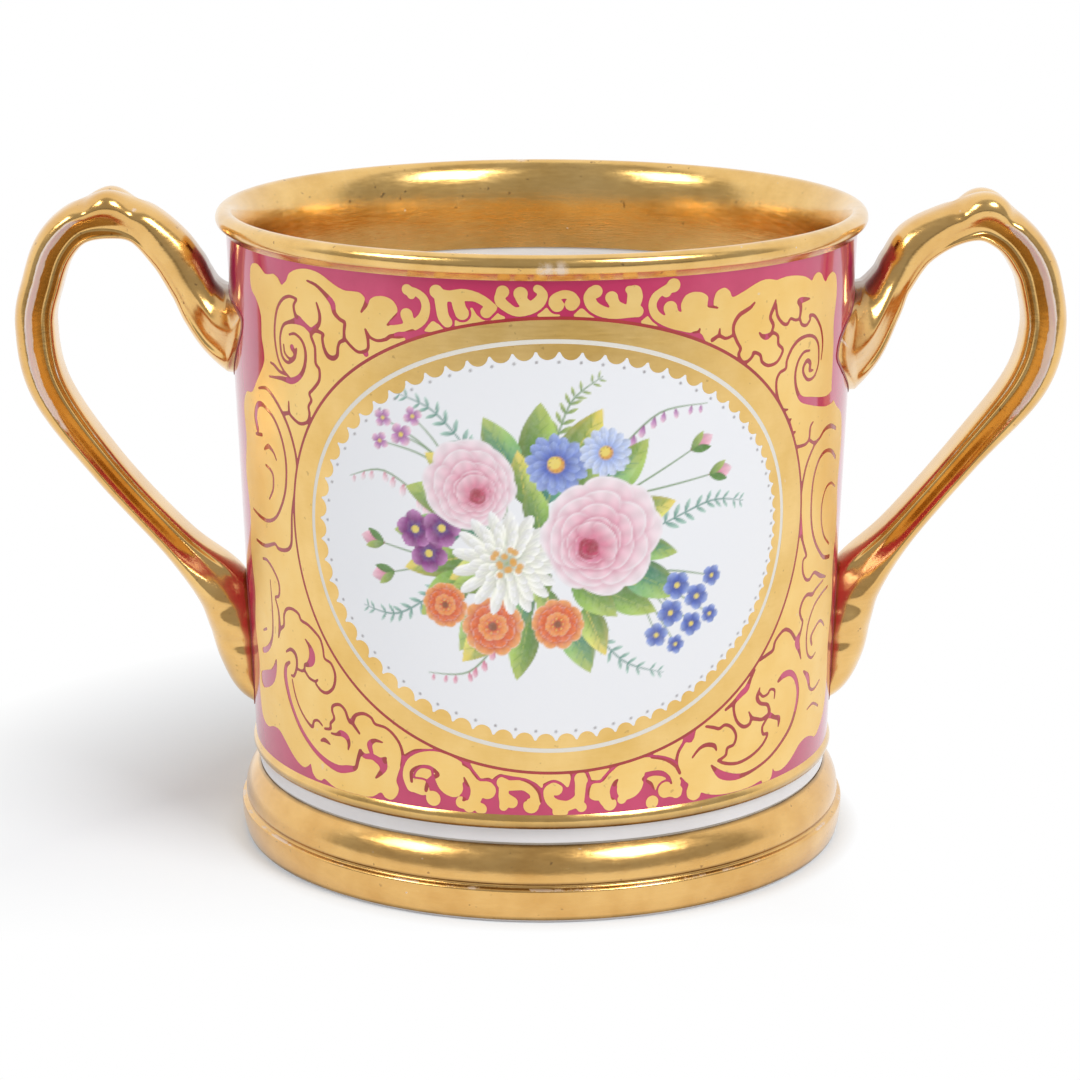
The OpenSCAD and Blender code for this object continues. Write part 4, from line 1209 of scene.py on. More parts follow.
def ring_angles(count, shift, jitter, chance, start=0.0):
    """Angles of a ring of petals or leaves, each a little off its even place."""
    for k in range(count):
        yield start + 2 * math.pi * (k + shift) / count + chance.uniform(-jitter, jitter)


def rose(art, a, z, r, tints, chance, tilt):
    """A full garden rose: rounded petals, paler outwards, round a deep heart set off the middle."""
    pale, mid, deep, heart = (np.array(tint) for tint in tints)
    white = np.array(WHITE)
    # Number of petals in a ring, their distance and size, the ring's offset, base and edge tint
    rings = ((8, 0.62, 0.78, 0.00, 0.45 * mid + 0.55 * pale, 0.5 * pale + 0.5 * white),
             (7, 0.50, 0.66, 0.06, 0.7 * mid + 0.3 * pale, 0.7 * pale + 0.3 * white),
             (6, 0.36, 0.56, 0.12, mid, pale),
             (5, 0.24, 0.46, 0.18, 0.5 * mid + 0.5 * deep, 0.4 * mid + 0.6 * pale),
             (5, 0.14, 0.34, 0.22, deep, mid),
             (4, 0.07, 0.22, 0.24, heart, deep))
    for ring, (count, far, size, offset, base, edge) in enumerate(rings):
        middle = around(a, z, offset * r, tilt)
        under = 0.45 if ring else 0.0
        for angle in ring_angles(count, 0.37 * ring, 0.16, chance, tilt):
            width = size * r * chance.uniform(1.0, 1.25)
            phase = chance.uniform(0, 6)
            place = around(*middle, far * r, angle)
            art.lobe(*place, angle, size * r * 0.86, width, base, edge, phase, under=under)
    middle = around(a, z, 0.24 * r, tilt)
    # Turn and width along a curl of the heart
    curl = ((0, 0.015), (0.5, 0.05), (1.0, 0.05), (1.7, 0.01))
    for k in range(6):
        angle = tilt + k * 1.1
        near = r * (0.05 + 0.028 * k)
        art.line([(*around(*middle, near, angle + t), w * r) for t, w in curl], heart, 0.8)
    for side in (-0.75, 0.75, 0.0):
        angle = tilt + math.pi + side
        place = around(*middle, 0.26 * r, angle)
        art.lobe(*place, angle, 0.30 * r, 0.50 * r, 0.6 * mid + 0.4 * deep, pale, chance.uniform(0, 6))


def dahlia(art, a, z, r, tints, chance):
    """A close double flower of many narrow petals in rings."""
    shade, body, tip, heart = tints
    for ring, (count, far) in enumerate(((17, 1.0), (16, 0.84), (14, 0.68), (12, 0.52), (9, 0.36))):
        width = 2.6 * r * far / count * 1.6
        for angle in ring_angles(count, 0.5 * ring, 0.05, chance):
            length = far * r * chance.uniform(0.95, 1.04)
            art.petal(a, z, angle, length, width, (shade, shade, body, tip), belly=0.72, point=0.5,
                      shade=0.45)
            start = around(a, z, 0.45 * far * r, angle)
            end = around(a, z, 0.85 * far * r, angle)
            art.line([(*start, 0.16), (*end, 0.05)], shade, 0.5)
    for k in range(14):
        art.dot(*around(a, z, 0.13 * r * (1 + k % 2), 2.4 * k), 0.06 * r, heart, 0.9, 0.25)


# Rings of a marigold: number of petals, their distance and size, base and edge tint
MARIGOLD_RINGS = ((10, 0.66, 0.66, SCARLET, APRICOT), (9, 0.46, 0.54, SCARLET, ORANGE),
                  (7, 0.28, 0.42, ORANGE, APRICOT), (5, 0.13, 0.30, SCARLET, ORANGE))


def marigold(art, a, z, r, chance):
    """An orange pompon of frilled petals with a dark eye."""
    for ring, (count, far, size, base, edge) in enumerate(MARIGOLD_RINGS):
        under = 0.5 if ring else 0.0
        for angle in ring_angles(count, 0.4 * ring, 0.12, chance):
            place = around(a, z, far * r, angle)
            phase = chance.uniform(0, 6)
            art.lobe(*place, angle, size * r * 0.8, size * r, base, edge, phase, soft=0.2, under=under)
    art.dot(a, z, 0.13 * r, BROWN, 0.85, 0.3)
    for k in range(7):
        art.dot(*around(a, z, 0.2 * r, 0.9 * k), 0.15, LEMON, 0.9, 0.2)


def aster(art, a, z, r, tints, chance):
    """A daisy flower: two rings of narrow petals round a yellow disc."""
    for ring, (count, far) in enumerate(((15, 1.0), (13, 0.76))):
        for angle in ring_angles(count, 0.5 * ring, 0.06, chance):
            length = far * r * chance.uniform(0.93, 1.05)
            art.petal(a, z, angle, length, 0.44 * r * far, tints, belly=0.68, point=0.55, shade=0.5)
    art.dot(a, z, 0.27 * r, AMBER, 1.0, 0.3)
    art.dot(a - 0.05 * r, z + 0.06 * r, 0.2 * r, LEMON, 1.0, 0.3)
    for k in range(9):
        art.dot(*around(a, z, 0.22 * r, 0.7 * k), 0.14, BROWN, 0.8, 0.2)


def floret(art, a, z, r, tints, eye, chance, count=5):
    """A small open flower of one ring of petals."""
    turn = chance.uniform(0, 1.2)
    for k in range(count):
        angle = turn + 2 * math.pi * k / count
        art.petal(a, z, angle, r, r * 0.95, tints, belly=0.62, point=0.5, shade=0.4)
    art.dot(a, z, 0.2 * r, eye, 0.95, 0.22)


def leaf(art, a, z, angle, length, width, dark, light, tip):
    """A leaf with a dark half and a lit half, a midrib and side veins."""
    art.petal(a, z, angle, length, width, (dark, light, tip), belly=0.42, point=0.85, shade=0.95)
    across = angle + math.pi / 2
    lit = around(a, z, 0.12 * width, across)
    art.petal(*lit, angle, length * 0.96, width * 0.5, (dark, dark, light), belly=0.42, point=0.9,
              shade=0.2, soft=0.5, opacity=0.6)
    art.line([(a, z, 0.3), (*around(a, z, 0.94 * length, angle), 0.08)], tip, 0.65)
    for share in (0.16, 0.3, 0.44, 0.58, 0.72):
        base = around(a, z, share * length, angle)
        ahead = around(*base, 0.13 * length, angle)
        reach = 0.34 * width * (1.05 - 0.7 * share)
        for way in (-1, 1):
            art.line([(*base, 0.17), (*around(*ahead, way * reach, across), 0.05)], dark, 0.55)


def sprig(art, knots, stem, tints, size, chance, pairs, bells=False):
    """A thin stem with small leaves or hanging bells along it."""
    art.line(knots, stem, 0.85)
    path = catmull(knots, 10)
    ways = (-1,) if bells else (-1, 1)
    breadth, belly = (0.55, 0.6) if bells else (0.36, 0.5)
    for k in range(pairs):
        i = int((k + 0.6) / pairs * (len(path) - 2))
        (a, z), (next_a, next_z) = path[i:i + 2, :2]
        heading = math.atan2(next_z - z, next_a - a)
        length = size * (1 - 0.5 * k / pairs)
        for way in ways:
            angle = heading + way * chance.uniform(0.7, 1.1)
            if bells:
                angle = chance.uniform(-1.9, -1.3)
            art.petal(a, z, angle, length, length * breadth, tints, belly, point=0.6, shade=0.4,
                      opacity=0.95)


def bud(art, a, z, angle, size, tints):
    """A closed bud in its green sepals."""
    art.petal(a, z, angle, size, 0.62 * size, tints, belly=0.5, point=0.7, shade=0.5)
    for offset, tint in ((-0.42, LEAF), (0.42, LIME)):
        side = angle + offset
        art.petal(a, z, side, 0.85 * size, 0.34 * size, (LEAF, tint), belly=0.5, point=0.8, shade=0.3)


ROSE_TINTS = (BLUSH, PINK, ROSE, CRIMSON)
CREAM_TINTS = (SAGE, CREAM, WHITE, AMBER)
BLUE_TINTS = (NAVY, BLUE, SKY)
# Greens of a leaf: dark half, lit half and tip
LEAF_GREENS = ((TEAL, (0.20, 0.38, 0.12), LIME), (LEAF, LIME, LEMON), (LEAF, (0.26, 0.40, 0.08), LIME))
# Rings of leaves under the front bouquet: count, half width and half height, shortest and longest leaf
LEAF_RINGS = ((19, 15.0, 13.5, 10.5, 14.5), (13, 9.0, 8.0, 10.0, 12.0), (7, 3.0, 3.0, 8.0, 10.0))
BOUQUET_MIDDLE = (-1.0, 73.0)
FRONT_SPRIGS = [
    ([(-14, 90, 0.3), (-21, 97.5, 0.35), (-28.4, 100.4, 0.12)], TEAL, (TEAL, MIST), 3.2, 9, False),
    ([(1, 92, 0.3), (4, 100, 0.35), (9.4, 104.4, 0.12)], LEAF, (LEAF, LIME), 3.0, 9, False),
    ([(12, 90, 0.35), (20, 97, 0.35), (29.6, 98, 0.12)], LEAF, (PURPLE, LILAC, BLUSH), 3.2, 9, True),
    ([(-22, 80, 0.35), (-31, 85.4, 0.35), (-38.6, 83.6, 0.12)], LEAF, (ROSE, BLUSH, WHITE), 3.2, 8, True),
    ([(-20, 64, 0.3), (-29, 58.4, 0.35), (-36.4, 59, 0.12)], TEAL, (TEAL, MIST), 3.0, 9, False),
    ([(21, 76, 0.3), (31, 79.4, 0.35), (38.6, 78.4, 0.12)], TEAL, (TEAL, MIST), 3.2, 9, False),
    ([(7, 58, 0.3), (14, 50.4, 0.35), (22, 47.4, 0.12)], TEAL, (TEAL, MIST), 3.0, 9, False),
    ([(-9, 55, 0.3), (-15, 48.4, 0.35), (-23, 47.6, 0.12)], LEAF, (ROSE, PINK, BLUSH), 2.8, 8, True)]
# Small flowers on thin stems: start of the stems, places and sizes, tints and number of petals
FRONT_FLORETS = [
    ((14, 67), [(24.4, 64, 2.8), (28.6, 61.4, 2.6), (23.2, 58.8, 2.7), (27.6, 56.2, 2.4), (20.4, 54.8, 2.4),
                (31.8, 65, 2.1), (31.6, 57.6, 1.9), (24.4, 52.6, 1.9)], BLUE_TINTS, 5),
    ((-17, 86), [(-27.4, 92.6, 2.3), (-31, 95.4, 1.9), (-25, 96.2, 1.9), (-31.8, 91, 1.8)],
     (PURPLE, LILAC, BLUSH), 4)]
FRONT_BUDS = ((26.4, 89.4, 0.5), (30.4, 84.4, 0.15), (-31.4, 71.6, 2.95), (-29.4, 66.4, 3.4))
BUD_STEM = 15.0
BUD_SIZE = 5.2
BACK_SPRIGS = [
    [(-6, 82, 0.3), (-11, 88, 0.35), (-14, 93, 0.12)], [(7, 82, 0.3), (12, 87, 0.35), (18, 89.5, 0.12)],
    [(-8, 64, 0.3), (-14, 60, 0.35), (-20, 58.5, 0.12)], [(9, 64, 0.3), (15, 59, 0.35), (20, 57.6, 0.12)]]


def bouquet(art):
    """The posy of the front face: roses, a cream dahlia, asters, marigolds, violets and sprigs."""
    chance = random.Random(11)
    for knots, stem, tints, size, pairs, bells in FRONT_SPRIGS:
        sprig(art, knots, stem, tints, size, chance, pairs, bells)
    for (a0, z0), places, _, _ in FRONT_FLORETS:
        for a, z, _ in places:
            art.line([(a0, z0, 0.4), (0.5 * (a0 + a), 0.5 * (z0 + z) + 1, 0.35), (a, z, 0.2)], LEAF, 0.85)
    for a, z, angle in FRONT_BUDS:
        art.line([(*around(a, z, -BUD_STEM, angle), 0.4), (a, z, 0.25)], LEAF, 0.9)
        bud(art, a, z, angle, BUD_SIZE, (ROSE, PINK, BLUSH))
    for count, half_w, half_h, shortest, longest in LEAF_RINGS:
        for k, turn in enumerate(ring_angles(count, 0, 0.1, chance)):
            a = BOUQUET_MIDDLE[0] + half_w * math.cos(turn)
            z = BOUQUET_MIDDLE[1] + half_h * math.sin(turn)
            length = chance.uniform(shortest, longest)
            angle = turn + chance.uniform(-0.35, 0.35)
            leaf(art, a, z, angle, length, length * chance.uniform(0.42, 0.54), *LEAF_GREENS[k % 3])
    for _, places, tints, count in FRONT_FLORETS:
        for a, z, r in places:
            floret(art, a, z, r, tints, LEMON, chance, count)
    for a, z in ((-22.4, 70.6), (-25, 75), (-19.8, 75.6)):
        floret(art, a, z, 3.7, (NAVY, PURPLE, LILAC), LEMON, chance)
    rose(art, -14.6, 84.2, 9.2, ROSE_TINTS, chance, 5.4)
    aster(art, 1.2, 88.2, 5.8, BLUE_TINTS, chance)
    aster(art, 10.2, 90.2, 4.8, (BLUE, SKY, HAZE), chance)
    marigold(art, -19.4, 61, 4.8, chance)
    marigold(art, -10.4, 57.4, 6.4, chance)
    marigold(art, 1.6, 58, 5.4, chance)
    dahlia(art, -7.8, 69.6, 10.0, CREAM_TINTS, chance)
    rose(art, 9.8, 74.6, 12.0, ROSE_TINTS, chance, 3.9)


def small_posy(art):
    """The posy of the back face: one rose with asters, marigolds, florets and leaves."""
    chance = random.Random(23)
    for knots in BACK_SPRIGS:
        sprig(art, knots, LEAF, (TEAL, MIST), 3.2, chance, 7)
    for k in range(9):
        angle = 0.35 + 2 * math.pi * k / 9
        dark = (LEAF, TEAL, LEAF)[k % 3]
        leaf(art, *around(0, 72.2, 6, angle), angle, 10.5 + (k % 3), 5.6, dark, LIME, LEMON)
    for a, z in ((-13, 77.5), (-16.2, 73.8), (-12.2, 71), (13.8, 76), (16.4, 72.4), (12.6, 69.6)):
        floret(art, a, z, 2.7, BLUE_TINTS, LEMON, chance)
    marigold(art, 9.6, 63.4, 4.8, chance)
    marigold(art, -9.4, 64.2, 4.4, chance)
    aster(art, 3.8, 82.6, 4.6, BLUE_TINTS, chance)
    aster(art, -5.4, 81.8, 4.2, (BLUE, SKY, HAZE), chance)
    rose(art, 0.2, 72.4, 9.4, ROSE_TINTS, chance, 4.2)


def oval_share(arcs, heights, half_w, half_h):
    """Distance from the middle of the white line, as a share of an oval's half axes."""
    return np.hypot((arcs - WHITE_LINE_MIDDLE[0]) / half_w, (heights - WHITE_LINE_MIDDLE[1]) / half_h)


def reserve_piece(name, turn, posy, nodes):
    """The oval panel as a closed sheet whose fine face carries the painting."""
    n = PANEL_CELLS
    axis = np.linspace(-1, 1, n + 1)
    u, v = np.meshgrid(axis, axis)
    arcs = (WHITE_LINE_MIDDLE[0] + PANEL_HALF[0] * u * np.sqrt(1 - v * v / 2)).ravel()
    heights = (WHITE_LINE_MIDDLE[1] + PANEL_HALF[1] * v * np.sqrt(1 - u * u / 2)).ravel()
    art = Painting(arcs, heights)
    posy(art)
    edge = oval_share(arcs, heights, *shrunk(WHITE_LINE_HALF, WHITE_LINE_W))
    art.colour[edge > 1] = LINE_TINT
    angles, radii = lace_steps(0.5)
    for a, z in lace_points(angles, LOBE_INSET + radii + DOT_GAP):
        art.dot(a, z, DOT_R, DOT_TINT, DOT_COVER, DOT_SOFT)
    top = on_wall(arcs, heights, PANEL_RISE + PAINT_RISE * art.body, turn)
    row = n + 1
    index = np.arange(row * row).reshape(row, row)
    corners = [index[:-1, :-1], index[:-1, 1:], index[1:, 1:], index[1:, :-1]]
    faces = np.stack(corners, -1).reshape(-1, 4).tolist()
    coarse = index[::PANEL_STRIDE, ::PANEL_STRIDE]
    low_of = {int(k): row * row + i for i, k in enumerate(coarse.ravel())}
    low = on_wall(arcs[coarse.ravel()], heights[coarse.ravel()], -PANEL_ROOT, turn)
    for r in range(coarse.shape[0] - 1):
        for c in range(coarse.shape[1] - 1):
            quad = (coarse[r, c], coarse[r + 1, c], coarse[r + 1, c + 1], coarse[r, c + 1])
            faces.append([low_of[int(k)] for k in quad])
    rim = np.concatenate([index[0, :-1], index[:-1, -1], index[-1, :0:-1], index[:0:-1, 0]]).tolist()
    for start in range(0, len(rim), PANEL_STRIDE):
        fine = [rim[(start + k) % len(rim)] for k in range(PANEL_STRIDE + 1)]
        faces.append(fine[::-1] + [low_of[fine[0]], low_of[fine[-1]]])
    piece = new_piece(name, np.vstack([top, low]), faces, painted, nodes)
    colour_layer(piece, "enamel", art.colour)


reserve_piece("front_panel", 0.0, bouquet, ("front_reserve",))
reserve_piece("back_panel", math.pi, small_posy, ("back_reserve",))


# Handles
HANDLE_W = 12.6
UPPER_LEAF_W = {"left": 42.0, "right": 50.0}
LOWER_LEAF_W = 19.0
LOWER_LEAF_T = 12.0
HANDLE_STEPS = 16
# The two handles were bent by hand, so each has its own route: distance out of the wall, height, thickness
HANDLE_ROUTES = {
    "left": [
        (-4, 101.5, 17.2), (0, 101.8, 17.6), (1.6, 102.4, 16.8), (4.2, 105.2, 14.2), (6.3, 108.8, 12.4),
        (8.3, 113, 10.9), (11.6, 118.2, 9.4), (16.5, 123, 8.2), (22.5, 124.5, 8.8), (29, 122.9, 8),
        (33.6, 118.4, 8.1), (36.4, 111.8, 8), (38.5, 103, 8), (36.5, 90, 7.8), (26.3, 74.2, 6.6),
        (13.3, 58.7, 6.3), (5.5, 50, 7.2), (2.5, 43.5, 7.6), (1, 37, 7.6), (-1, 31.5, 7.6), (-4.5, 28, 7.6)],
    "right": [
        (-4, 99.5, 21), (0, 99.9, 21.6), (1.6, 100.6, 20.4), (4.2, 103.6, 15.6), (6.8, 108.6, 11.2),
        (8.6, 113, 9.6), (12.1, 118.3, 9.2), (18.5, 122, 8.2), (25, 123.5, 9), (30.5, 120.5, 8.3),
        (34.5, 116, 8.6), (37, 110.5, 8.6), (38.5, 101, 8.6), (35.5, 90, 8.4), (24.6, 76, 6.5),
        (12, 60.2, 6.1), (4.5, 50.5, 7), (2, 43.5, 7.6), (1, 37, 7.6), (-1, 31.5, 7.6), (-4.5, 28, 7.6)]}
# Shares on a route's first rows: upper leaf, its end at the wall, upright section and smooth arm
UPPER_SHARES = [1.0, 1.0, 0.72, 0.36, 0.14, 0.03]
LEAF_END_SHARES = [1.0, 1.0, 0.50]
UPRIGHT_SHARES = [1.0, 1.0, 1.0, 0.78, 0.62, 0.5, 0.3]
ARM_SHARES = [0.0, 0.0, 0.0, 0.5, 0.8, 1.0, 1.0, 0.7, 0.3]
# Share of the lower leaf on the last rows
LOWER_SHARES = [0.12, 0.75, 1.0, 0.92, 0.65, 0.15]
# Row at which the knuckle stands, its rise and spread, and the dents on both sides of it
KNUCKLE_ROW = 8
KNUCKLE_RISE = 1.5
KNUCKLE_SPREAD = 2.6
DENT_DEPTH = 0.7
DENT_GAP = 4.2
DENT_SPREAD = 1.3
# Places round a section, as angle and spread, of the knuckle, its dents and the leaf's grooves
KNUCKLE_PLACE = (38.0, 34.0)
DENT_PLACE = (40.0, 30.0)
GROOVE_PLACE = (95.0, 34.0)
# Row at which the worn stretch of the outer limb ends, and the lengths over which it starts and ends
WEAR_END_ROW = 14
WEAR_START = 8.0
WEAR_FADE = 18.0
# Wear on the ridge, the inner edge, beside the knuckle and in the leaf's crease: amount, angle and spread
RIDGE_WEAR = (0.95, 78.0, 15.0)
EDGE_WEAR = (0.52, 146.0, 6.0)
KNUCKLE_WEAR = (0.55, 45.0, 16.0)
CREASE_WEAR = (0.60, 82.0, 5.0)
# Place along the handle of the wear beside the knuckle, from the knuckle, and its spread
KNUCKLE_WEAR_PLACE = (-4.4, 1.2)
# Half sections from outer edge over front face to inner edge, as shares of half thickness and half width
LIMB_SECTION = [
    (1.00, 0.00), (0.98, 0.30), (0.88, 0.62), (0.66, 0.88), (0.38, 1.00), (0.14, 0.88), (-0.10, 0.66),
    (-0.34, 0.48), (-0.58, 0.50), (-0.80, 0.74), (-0.97, 0.55), (-1.00, 0.00)]
ARM_SECTION = [
    (1.00, 0.00), (0.97, 0.36), (0.84, 0.64), (0.60, 0.84), (0.34, 0.95), (0.10, 1.00), (-0.15, 0.98),
    (-0.40, 0.91), (-0.62, 0.80), (-0.80, 0.70), (-0.96, 0.45), (-1.00, 0.00)]
UPPER_LEAF_SECTION = [
    (1.00, 0.00), (0.95, 0.26), (0.80, 0.42), (0.52, 0.56), (0.14, 0.76), (-0.20, 1.00), (-0.36, 0.93),
    (-0.52, 0.81), (-0.66, 0.66), (-0.79, 0.48), (-0.92, 0.26), (-1.00, 0.00)]
LEAF_END_SECTION = [
    (1.00, 0.00), (0.97, 0.20), (0.90, 0.36), (0.84, 0.56), (0.79, 0.78), (0.70, 0.95), (0.58, 1.00),
    (0.34, 0.94), (0.00, 0.78), (-0.42, 0.54), (-0.82, 0.26), (-1.00, 0.00)]
# Heights in the section at which the leaf's fold stands, out on the arm and at the wall
FOLD_HEIGHT = {"left": 0.00, "right": -0.40}
CORNER_HEIGHT = {"left": 0.60, "right": 0.10}
SECTION_STEPS = 5
# Soft grooves across the lower leaf: how far apart they are, how deep, and how far they slant
LEAF_GROOVE_STEP = 7.0
LEAF_GROOVE_DEPTH = 0.6
LEAF_GROOVE_SLANT = 40.0
# How deep a handle's ends sit in the wall, and the sizes of the rings that close them
END_DEPTH = 1.0
END_SHARES = (0.75, 0.5, 0.25, 0.03)
# How far out of the wall the painted shade on the arm ends, over what length it fades, its amount and its
# spread
HOLLOW_SHADE_END = 11.0
HOLLOW_SHADE_FADE = 4.0
HOLLOW_SHADE_AMOUNT = 0.85
HOLLOW_SHADE_SPREAD = 46.0
# Edges of a handle that bend more than this, in degrees, stay sharp
HANDLE_SHARP = 60


def fold_at(section, height):
    """A leaf's half section with its widest point moved to a height."""
    points = np.array(section, float)
    fold = points[np.argmax(points[:, 1]), 0]
    above = 1 - (1 - points[:, 0]) * (1 - height) / (1 - fold)
    below = (points[:, 0] + 1) * (height + 1) / (fold + 1) - 1
    points[:, 0] = np.where(points[:, 0] > fold, above, below)
    return points


def closing_rings(ring):
    """Rings that close a handle's end, shrinking round the curve of the wall, from large to small."""
    arc = np.arctan2(ring[:, 1], ring[:, 0])
    middle = ring[:, 2].mean()
    rings = []
    for share in END_SHARES:
        z = middle + (ring[:, 2] - middle) * share
        radius = wall_r(z) - END_DEPTH
        rings.append(np.stack([radius * np.cos(arc * share), radius * np.sin(arc * share), z], -1))
    return rings


def worn_band(turn, wear, share):
    """Wear in a band round the section, on a share of the handle's length."""
    amount, angle, spread = wear
    return amount * share * hump(turn, angle, spread)


def handle_shape(side):
    """Points of a handle ring by ring, with shares of wear and of painted shade for each."""
    rows = np.array(HANDLE_ROUTES[side], float)
    shares = np.zeros((len(rows), 5))
    for column, first in enumerate((UPPER_SHARES, LEAF_END_SHARES, UPRIGHT_SHARES, ARM_SHARES)):
        shares[:len(first), column] = first
    shares[-len(LOWER_SHARES):, 4] = LOWER_SHARES
    knots = catmull(np.hstack([rows, shares]), HANDLE_STEPS)
    height = knots[:, 1]
    centre = np.stack([wall_r(height) + knots[:, 0], height], -1)
    upper, leaf_end, upright, arm, lower = np.clip(knots[:, 3:], 0, 1).T
    plain = (1 - upper) * (1 - lower)
    half_t = ((1 - lower) * knots[:, 2] + lower * LOWER_LEAF_T) / 2
    half_w = (plain * HANDLE_W + upper * UPPER_LEAF_W[side] + lower * LOWER_LEAF_W) / 2
    step = np.linalg.norm(np.diff(centre, axis=0), axis=1)
    run = np.concatenate([[0], np.cumsum(step)])
    along = np.gradient(centre, axis=0)
    along /= np.linalg.norm(along, axis=1)[:, None]
    square = np.stack([-along[:, 1], along[:, 0]], -1)
    away = square * (1 - upright[:, None]) + np.outer(upright, (0.0, 1.0))
    away /= np.linalg.norm(away, axis=1)[:, None]
    # A section's two halves mirror each other; turn runs from the outer edge, 0, to the inner edge, 180
    bend = np.linspace(0, 180, (len(LIMB_SECTION) - 1) * SECTION_STEPS + 1)
    turn = np.concatenate([bend, bend[-2:0:-1]])[None]
    sections = (LIMB_SECTION, ARM_SECTION, fold_at(LEAF_END_SECTION, CORNER_HEIGHT[side]),
                fold_at(UPPER_LEAF_SECTION, FOLD_HEIGHT[side]))
    halves = [catmull(section, SECTION_STEPS) for section in sections]
    halves.append(np.stack([np.cos(np.radians(bend)), np.sin(np.radians(bend))], -1))
    parts = (plain * (1 - arm), plain * arm, upper * leaf_end, upper * (1 - leaf_end), lower * (1 - upper))
    shape = sum(part[:, None, None] * np.vstack([half, half[-2:0:-1] * (1, -1)])[None]
                for part, half in zip(parts, halves))
    # The knuckle on the arch, and grooves that run down and inwards over the lower leaf
    since_knuckle = (run - run[KNUCKLE_ROW * HANDLE_STEPS])[:, None]
    grow = KNUCKLE_RISE * hump(since_knuckle, 0.0, KNUCKLE_SPREAD) * hump(turn, *KNUCKLE_PLACE)
    dents = hump(since_knuckle, DENT_GAP, DENT_SPREAD) + hump(since_knuckle, -DENT_GAP, DENT_SPREAD)
    grow = grow - DENT_DEPTH * dents * hump(turn, *DENT_PLACE)
    phase = height[:, None] / LEAF_GROOVE_STEP * 2 * math.pi + turn / LEAF_GROOVE_SLANT
    flank = hump(turn, *GROOVE_PLACE) * np.clip(lower * 1.6 - 0.5, 0, 1)[:, None]
    grow = grow - LEAF_GROOVE_DEPTH * flank * (0.5 + 0.5 * np.cos(phase)) ** 2
    size = np.hypot(shape[..., 0] * half_t[:, None], shape[..., 1] * half_w[:, None])
    factor = 1 + grow / np.maximum(size, 2.0)
    reach = shape[..., 0] * half_t[:, None] * factor
    x = centre[:, 0, None] + away[:, 0, None] * reach
    z = centre[:, 1, None] + away[:, 1, None] * reach
    y = shape[..., 1] * half_w[:, None] * factor
    # The upper leaf lies round the wall
    round_x = x * np.cos(y / x)
    round_y = x * np.sin(y / x)
    x = x + (round_x - x) * upright[:, None]
    y = y + (round_y - y) * upright[:, None]
    push = np.maximum(1.0, (wall_r(z) - END_DEPTH) / np.maximum(np.hypot(x, y), 1e-6))
    points = np.stack([x * push, y * push, z], -1)
    # Gilding is rubbed off the ridge of the outer limb, the inner edge, beside the knuckle and in the crease
    remaining = run[WEAR_END_ROW * HANDLE_STEPS] - run
    limb = np.clip(since_knuckle / WEAR_START, 0, 1) * np.clip(remaining / WEAR_FADE, 0, 1)[:, None]
    worn = np.maximum.reduce([
        worn_band(turn, RIDGE_WEAR, limb),
        worn_band(turn, EDGE_WEAR, (plain * (1 - arm))[:, None]),
        worn_band(turn, KNUCKLE_WEAR, hump(since_knuckle, *KNUCKLE_WEAR_PLACE)),
        worn_band(turn, CREASE_WEAR, upper[:, None] ** 0.6)])
    # Painted shade in the hollow between the arm and the wall
    near_wall = np.clip((HOLLOW_SHADE_END - knots[:, 0]) / HOLLOW_SHADE_FADE, 0, 1) * np.clip(1 - lower, 0, 1)
    near_wall[len(near_wall) // 2:] = 0
    outer = np.clip(1.8 * hump(turn, 0.0, HOLLOW_SHADE_SPREAD) - 0.3, 0, 1)
    hollow_shade = HOLLOW_SHADE_AMOUNT * near_wall[:, None] * outer
    points = np.concatenate([closing_rings(points[0])[::-1], points, closing_rings(points[-1])])
    spread = ((len(END_SHARES), len(END_SHARES)), (0, 0), (0, 0))
    wear_and_shade = np.pad(np.stack([worn, hollow_shade], -1), spread, mode="edge")
    if side == "left":
        points[..., :2] *= -1
    return points, wear_and_shade


handle_rows = {}
for side in ("left", "right"):
    points, worn = handle_shape(side)
    rings, ring = worn.shape[:2]
    faces = [tuple(range(ring))]
    for i in range(rings - 1):
        for j in range(ring):
            k = (j + 1) % ring
            faces.append((i * ring + j, (i + 1) * ring + j, (i + 1) * ring + k, i * ring + k))
    faces.append(tuple((rings - 1) * ring + j for j in range(ring - 1, -1, -1)))
    handle_rows[side] = points.reshape(-1, 3)
    piece = new_piece(f"handle_{side}_gilt", handle_rows[side], faces, gilt_handle,
                      (f"handle_{side}",), HANDLE_SHARP)
    # The layer holds each point's wear and its painted shade
    colour_layer(piece, "wear", worn.reshape(-1, 2))

# Slip round the foot of each handle, where it was stuck on
SLIP_SPREAD = 0.5
SLIP_RISE = 0.15
# Slip shows where a handle's face is this far over the wall, give or take the reach
TOUCH_RISE = 0.1
TOUCH_REACH = 0.4
# Height between the upper and the lower end of a handle
PARTING_Z = 75.0
for side, turn in (("left", -math.pi / 2), ("right", math.pi / 2)):
    rows = handle_rows[side]
    radius = np.hypot(rows[:, 0], rows[:, 1])
    arcs = (np.arctan2(rows[:, 0], -rows[:, 1]) - turn + math.pi) % (2 * math.pi) - math.pi
    touching = np.abs(radius - wall_r(rows[:, 2]) - TOUCH_RISE) < TOUCH_REACH
    for part, chosen in (("upper", rows[:, 2] > PARTING_Z), ("lower", rows[:, 2] < PARTING_Z)):
        pad = empty_field()
        for a, z in zip(arcs[touching & chosen] * ARC_R, rows[touching & chosen, 2]):
            stamp(pad, [(a, z, 2 * SLIP_SPREAD)])
        replaced = (f"slip_{side}_{part}",)
        coat_piece(f"slip_{side}_{part}_edge", pad, SLIP_RISE, slip_edge, turn, replaced)


# Stage, light and camera

